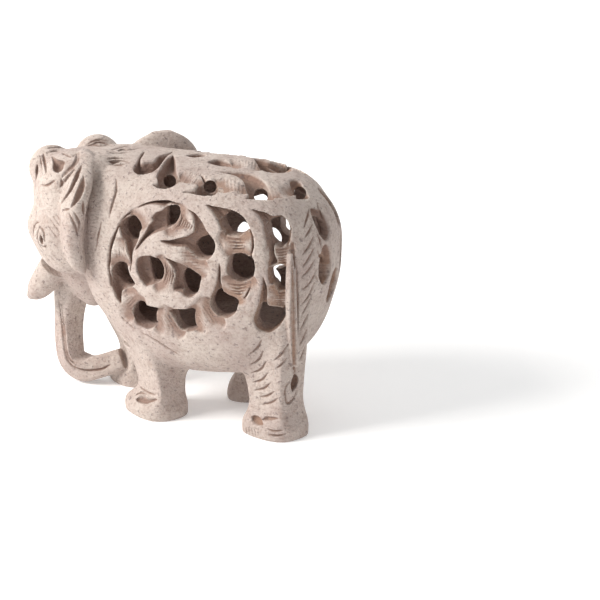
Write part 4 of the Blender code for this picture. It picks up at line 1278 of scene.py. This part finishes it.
class Nodes:
    """A short way to wire up a material."""

    def __init__(self, material):
        material.use_nodes = True
        self.tree = material.node_tree
        self.shader = self.tree.nodes["Principled BSDF"]

    def add(self, kind, inputs=(), **settings):
        node = self.tree.nodes.new(kind)
        for key, value in settings.items():
            setattr(node, key, value)
        for key, value in dict(inputs).items():
            self.feed(value, node.inputs[key])
        return node

    def feed(self, value, socket):
        if isinstance(value, bpy.types.NodeSocket):
            self.tree.links.new(value, socket)
        else:
            socket.default_value = value

    def mix(self, factor, a, b, blend="MIX"):
        node = self.add("ShaderNodeMix", data_type="RGBA", blend_type=blend)
        self.feed(factor, node.inputs[0])
        self.feed(a, node.inputs[6])
        self.feed(b, node.inputs[7])
        return node.outputs[2]

    def math(self, operation, a, b=0.0):
        node = self.add("ShaderNodeMath", operation=operation)
        self.feed(a, node.inputs[0])
        self.feed(b, node.inputs[1])
        return node.outputs[0]

    def ramp(self, value, low, high):
        node = self.add("ShaderNodeMapRange", {"Value": value, "From Min": low, "From Max": high})
        return node.outputs["Result"]

    def noise(self, place, size_mm, detail=2.0, roughness=0.5):
        inputs = {"Vector": place, "Scale": 1 / (size_mm * MM), "Detail": detail, "Roughness": roughness}
        return self.add("ShaderNodeTexNoise", inputs).outputs["Fac"]

    def patches(self, place, size_mm, detail, roughness, start, full):
        return self.ramp(self.noise(place, size_mm, detail, roughness), start, full)

    def cover(self, under, amount, share, over):
        return self.mix(self.math("MULTIPLY", amount, share), under, (*over,))

    def marked(self, name):
        return self.add("ShaderNodeAttribute", attribute_name=name).outputs["Fac"]


def stone_material(colours):
    """Rasped soapstone: pale and worn along its arrises, brown in its cuts, with painted shade in its
    creases, clouded and specked.
    """
    material = bpy.data.materials.new("rasped_soapstone")
    n = Nodes(material)
    place = n.add("ShaderNodeTexCoord").outputs["Object"]
    recess, inner, crest = [n.marked(name) for name in ("recess", "inner", "crest")]
    colour = n.mix(n.patches(place, *CLOUDS), (*colours.pale,), (*colours.pink,))
    stains = n.patches(place, *STAINS)
    colour = n.cover(colour, stains, STAIN_SHARE, colours.brown)
    along = n.add("ShaderNodeSeparateXYZ", {"Vector": place}).outputs["X"]
    rusty = n.ramp(along, RUST_START * MM, RUST_END * MM)
    rusty = n.math("MULTIPLY", rusty, n.patches(place, *RUST))
    cut = n.mix(rusty, (*colours.brown,), (*colours.rust,))
    uneven = n.math("MULTIPLY", n.math("SUBTRACT", stains, STAIN_MIDDLE), STAIN_SHIFT)
    depth = n.ramp(n.math("ADD", recess, uneven), *CUT_RANGE)
    colour = n.mix(n.math("MULTIPLY", depth, CUT_SHADE), colour, cut)
    colour = n.cover(colour, inner, CUT_SHADE, colours.inside)
    # Painted shade: darker brown where the stone curves inwards, in its creases and between its forms
    colour = n.cover(colour, n.ramp(crest, *CREASE_SHADE_RANGE), CREASE_SHADE_SHARE, colours.brown)
    colour = n.cover(colour, n.ramp(crest, *WORN_RANGE), WORN_SHARE, colours.worn)
    pores = n.patches(place, *PORES)
    colour = n.cover(colour, pores, PORE_SHARE, colours.brown)
    colour = n.cover(colour, n.patches(place, *SPECKS), SPECK_SHARE, colours.speck)
    n.feed(colour, n.shader.inputs["Base Color"])
    n.feed(n.ramp(pores, *SMOOTH_RANGE), n.shader.inputs["Roughness"])
    grain = n.noise(place, GRAIN_SIZE, 4.0, 0.75)
    turned = n.add("ShaderNodeMapping", {"Vector": place, "Rotation": RASP_TURN, "Scale": RASP_STRETCH})
    rasp = n.noise(turned.outputs["Vector"], RASP_SIZE, 2.0)
    rough = n.math("ADD", n.math("MULTIPLY", grain, ROUGH_SHARE), n.math("MULTIPLY", rasp, ROUGH_SHARE))
    bump = n.add("ShaderNodeBump", {"Height": rough, "Strength": 1.0, "Distance": ROUGH_HEIGHT * MM})
    n.feed(bump.outputs["Normal"], n.shader.inputs["Normal"])
    return material


def floor_material(stage):
    """The plain pale floor, with a trace of unevenness."""
    material = bpy.data.materials.new("pale_floor")
    n = Nodes(material)
    place = n.add("ShaderNodeTexCoord").outputs["Object"]
    colour = n.mix(n.noise(place, FLOOR_PATCH), (*stage.floor_colour,), FLOOR_PALE)
    n.feed(colour, n.shader.inputs["Base Color"])
    n.shader.inputs["Roughness"].default_value = 0.9
    n.shader.inputs["Emission Color"].default_value = WHITE
    n.shader.inputs["Emission Strength"].default_value = FLOOR_GLOW
    return material


# Lights: name, place in metres, size, setting that holds the power, and colour
LIGHTS = (
    ("key_light", (-0.52, -0.36, 0.48), 0.35, "key_power", (1.0, 0.98, 0.95)),
    ("fill_light", (0.6, -0.45, 0.35), 0.7, "fill_power", (0.95, 0.97, 1.0)),
    ("back_light", (0.1, 0.35, 0.6), 0.6, "fill_power", (1.0, 1.0, 1.0)),
)
LIGHTS_AIM = (0, 0, 0.04)
WORLD_STRENGTH = 0.42
# The backdrop in metres: half width, how far back it stands, how high, and the radius of its bend,
# which is made of this many steps from this angle on
COVE_HALF, COVE_BACK, COVE_HEIGHT, COVE_BEND, COVE_STEPS = 1.2, 0.55, 0.8, 0.25, 12
COVE_FIRST = 0.1


class ElephantCarving(bpy.types.PropertyGroup):
    """Sizes of the carving that a maker would change."""

    grain: bpy.props.FloatProperty(
        name="Grain",
        description="Width of the cells that the stone is carved in, in millimetres",
        default=0.25,
        min=0.2,
    )
    triangles: bpy.props.IntProperty(
        name="Triangles", description="The most triangles that the finished stone may have", default=197000
    )
    groove_depth: bpy.props.FloatProperty(
        name="Groove depth", description="How deep the grooves of the leaves are, in millimetres", default=1.0
    )


def colour_property(name, description, default):
    """A colour that a maker would change."""
    return bpy.props.FloatVectorProperty(
        name=name, description=description, default=default, size=4, min=0.0, max=1.0, subtype="COLOR"
    )


class ElephantColours(bpy.types.PropertyGroup):
    """Colours of the stone."""

    pale: colour_property("Pale", "The palest stone", (0.61, 0.52, 0.465, 1.0))
    pink: colour_property("Pink", "The stone's pink clouds", (0.52, 0.42, 0.38, 1.0))
    # Brown is also the painted shade in the stone's creases
    brown: colour_property("Brown", "The stone in its cuts and pores", (0.29, 0.185, 0.145, 1.0))
    rust: colour_property("Rust", "The stone in its cuts towards the rump", (0.37, 0.222, 0.152, 1.0))
    inside: colour_property("Inside", "The stone inside the hollow", (0.50, 0.37, 0.32, 1.0))
    worn: colour_property("Worn", "The stone along worn arrises", (0.80, 0.72, 0.64, 1.0))
    speck: colour_property("Specks", "The small dark specks", (0.20, 0.15, 0.14, 1.0))


class ElephantStage(bpy.types.PropertyGroup):
    """The floor, lights and camera."""

    floor_colour: colour_property("Floor", "The floor and backdrop", (0.90, 0.90, 0.90, 1.0))
    lens: bpy.props.FloatProperty(name="Lens", description="Focal length in millimetres", default=114.0)
    key_power: bpy.props.FloatProperty(
        name="Key light", description="Power of the main light", default=7.4, unit="POWER"
    )
    fill_power: bpy.props.FloatProperty(
        name="Fill light", description="Power of the fill light", default=0.6, unit="POWER"
    )


class ELEPHANT_OT_carve(bpy.types.Operator):
    """Carve the elephant out of one block of soapstone"""

    bl_idname = "elephant.carve"
    bl_label = "Carve Elephant"

    def execute(self, context):
        sizes, colours = context.scene.elephant_carving, context.scene.elephant_colours
        cells = Cells(sizes.grain)
        block, body = block_out(cells)
        hollow = hollow_field(cells)
        stone = carved(cells, np.maximum(block, -hollow), body, sizes)
        tail = tail_field(cells)
        stone, block = merge(stone, tail, TAIL_FILLET), merge(block, tail, TAIL_FILLET)
        for opening in DRILLED:
            drill(cells, stone, *opening)
        cut_strokes(cells, stone, sizes)
        keep_inside(cells, stone)
        obj = mesh_of(cells, stone, sizes.triangles)
        dress(obj.data, cells, stone, block, hollow)
        obj.data.materials.append(stone_material(colours))
        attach(obj, "root")
        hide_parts("elephant")
        return {"FINISHED"}


def area_light(name, place, aim, size, power, colour):
    """A soft light that faces a point."""
    light = bpy.data.lights.new(name, "AREA")
    light.energy = power
    light.size = size
    light.color = colour
    obj = bpy.data.objects.new(name, light)
    obj.location = place
    obj.rotation_euler = (Vector(aim) - Vector(place)).to_track_quat("-Z", "Y").to_euler()
    bpy.context.scene.collection.objects.link(obj)


def backdrop(stage):
    """A floor that bends up behind the elephant, square to the camera."""
    start = COVE_BACK - COVE_BEND
    rows = [(-COVE_HALF, 0.0), (start, 0.0)]
    for t in np.linspace(COVE_FIRST, math.pi / 2, COVE_STEPS):
        rows.append((start + COVE_BEND * math.sin(t), COVE_BEND - COVE_BEND * math.cos(t)))
    rows.append((COVE_BACK, COVE_HEIGHT))
    points = [(x, y, z) for y, z in rows for x in (-COVE_HALF, COVE_HALF)]
    faces = [(2 * i, 2 * i + 1, 2 * i + 3, 2 * i + 2) for i in range(len(rows) - 1)]
    mesh = bpy.data.meshes.new("floor")
    mesh.from_pydata(points, [], faces)
    mesh.materials.append(floor_material(stage))
    mesh.shade_smooth()
    floor = bpy.data.objects.new("floor", mesh)
    floor.rotation_euler = (0, 0, math.radians(VIEW_TURN))
    bpy.context.scene.collection.objects.link(floor)
    return floor


def camera(stage):
    """The camera, where the photograph was taken from."""
    lens = bpy.data.cameras.new("camera")
    lens.lens = stage.lens
    lens.sensor_width = 36.0
    obj = bpy.data.objects.new("camera", lens)
    turn, rise = math.radians(VIEW_TURN), math.radians(VIEW_RISE)
    right = Vector((math.cos(turn), math.sin(turn), 0))
    back = Vector((math.sin(turn) * math.cos(rise), -math.cos(turn) * math.cos(rise), math.sin(rise)))
    axes = Matrix((right, back.cross(right), back)).transposed().to_4x4()
    obj.matrix_world = Matrix.Translation((Vector(EYE) + Vector(SHIFT)) * MM) @ axes
    bpy.context.scene.collection.objects.link(obj)
    return obj


class ELEPHANT_OT_stage(bpy.types.Operator):
    """Set the pale floor, the soft lights and the camera"""

    bl_idname = "elephant.stage"
    bl_label = "Set Stage"

    def execute(self, context):
        stage = context.scene.elephant_stage
        floor = backdrop(stage)
        for name, place, size, power, colour in LIGHTS:
            area_light(name, place, LIGHTS_AIM, size, getattr(stage, power), colour)
        world = bpy.data.worlds.new("studio")
        world.use_nodes = True
        background = world.node_tree.nodes["Background"]
        background.inputs["Color"].default_value = WHITE
        background.inputs["Strength"].default_value = WORLD_STRENGTH
        context.scene.world = world
        context.scene.camera = camera(stage)
        context.scene.view_settings.view_transform = "Standard"
        return {"FINISHED"}


class ELEPHANT_PT_panel(bpy.types.Panel):
    """The sidebar panel with the settings and the buttons"""

    bl_idname = "ELEPHANT_PT_panel"
    bl_label = "Stone Elephant"
    bl_space_type = "VIEW_3D"
    bl_region_type = "UI"
    bl_category = "Stone Elephant"

    def draw(self, context):
        for group in GROUPS:
            values = getattr(context.scene, group)
            for key in values.bl_rna.properties.keys():
                if key not in ("rna_type", "name"):
                    self.layout.prop(values, key)
        for operator in OPERATORS:
            self.layout.operator(operator.bl_idname)


OPERATORS = (ELEPHANT_OT_carve, ELEPHANT_OT_stage)
GROUPS = {
    "elephant_carving": ElephantCarving,
    "elephant_colours": ElephantColours,
    "elephant_stage": ElephantStage,
}


def register():
    """Register the settings, the operators and the panel."""
    for cls in (*GROUPS.values(), *OPERATORS, ELEPHANT_PT_panel):
        bpy.utils.register_class(cls)
    for name, cls in GROUPS.items():
        setattr(bpy.types.Scene, name, bpy.props.PointerProperty(type=cls))


def unregister():
    """Take away all that register added."""
    for name in GROUPS:
        delattr(bpy.types.Scene, name)
    for cls in reversed((*GROUPS.values(), *OPERATORS, ELEPHANT_PT_panel)):
        bpy.utils.unregister_class(cls)


def main():
    """Make every piece and the stage."""
    register()
    bpy.ops.elephant.carve()
    bpy.ops.elephant.stage()


if __name__ == "__main__":
    main()
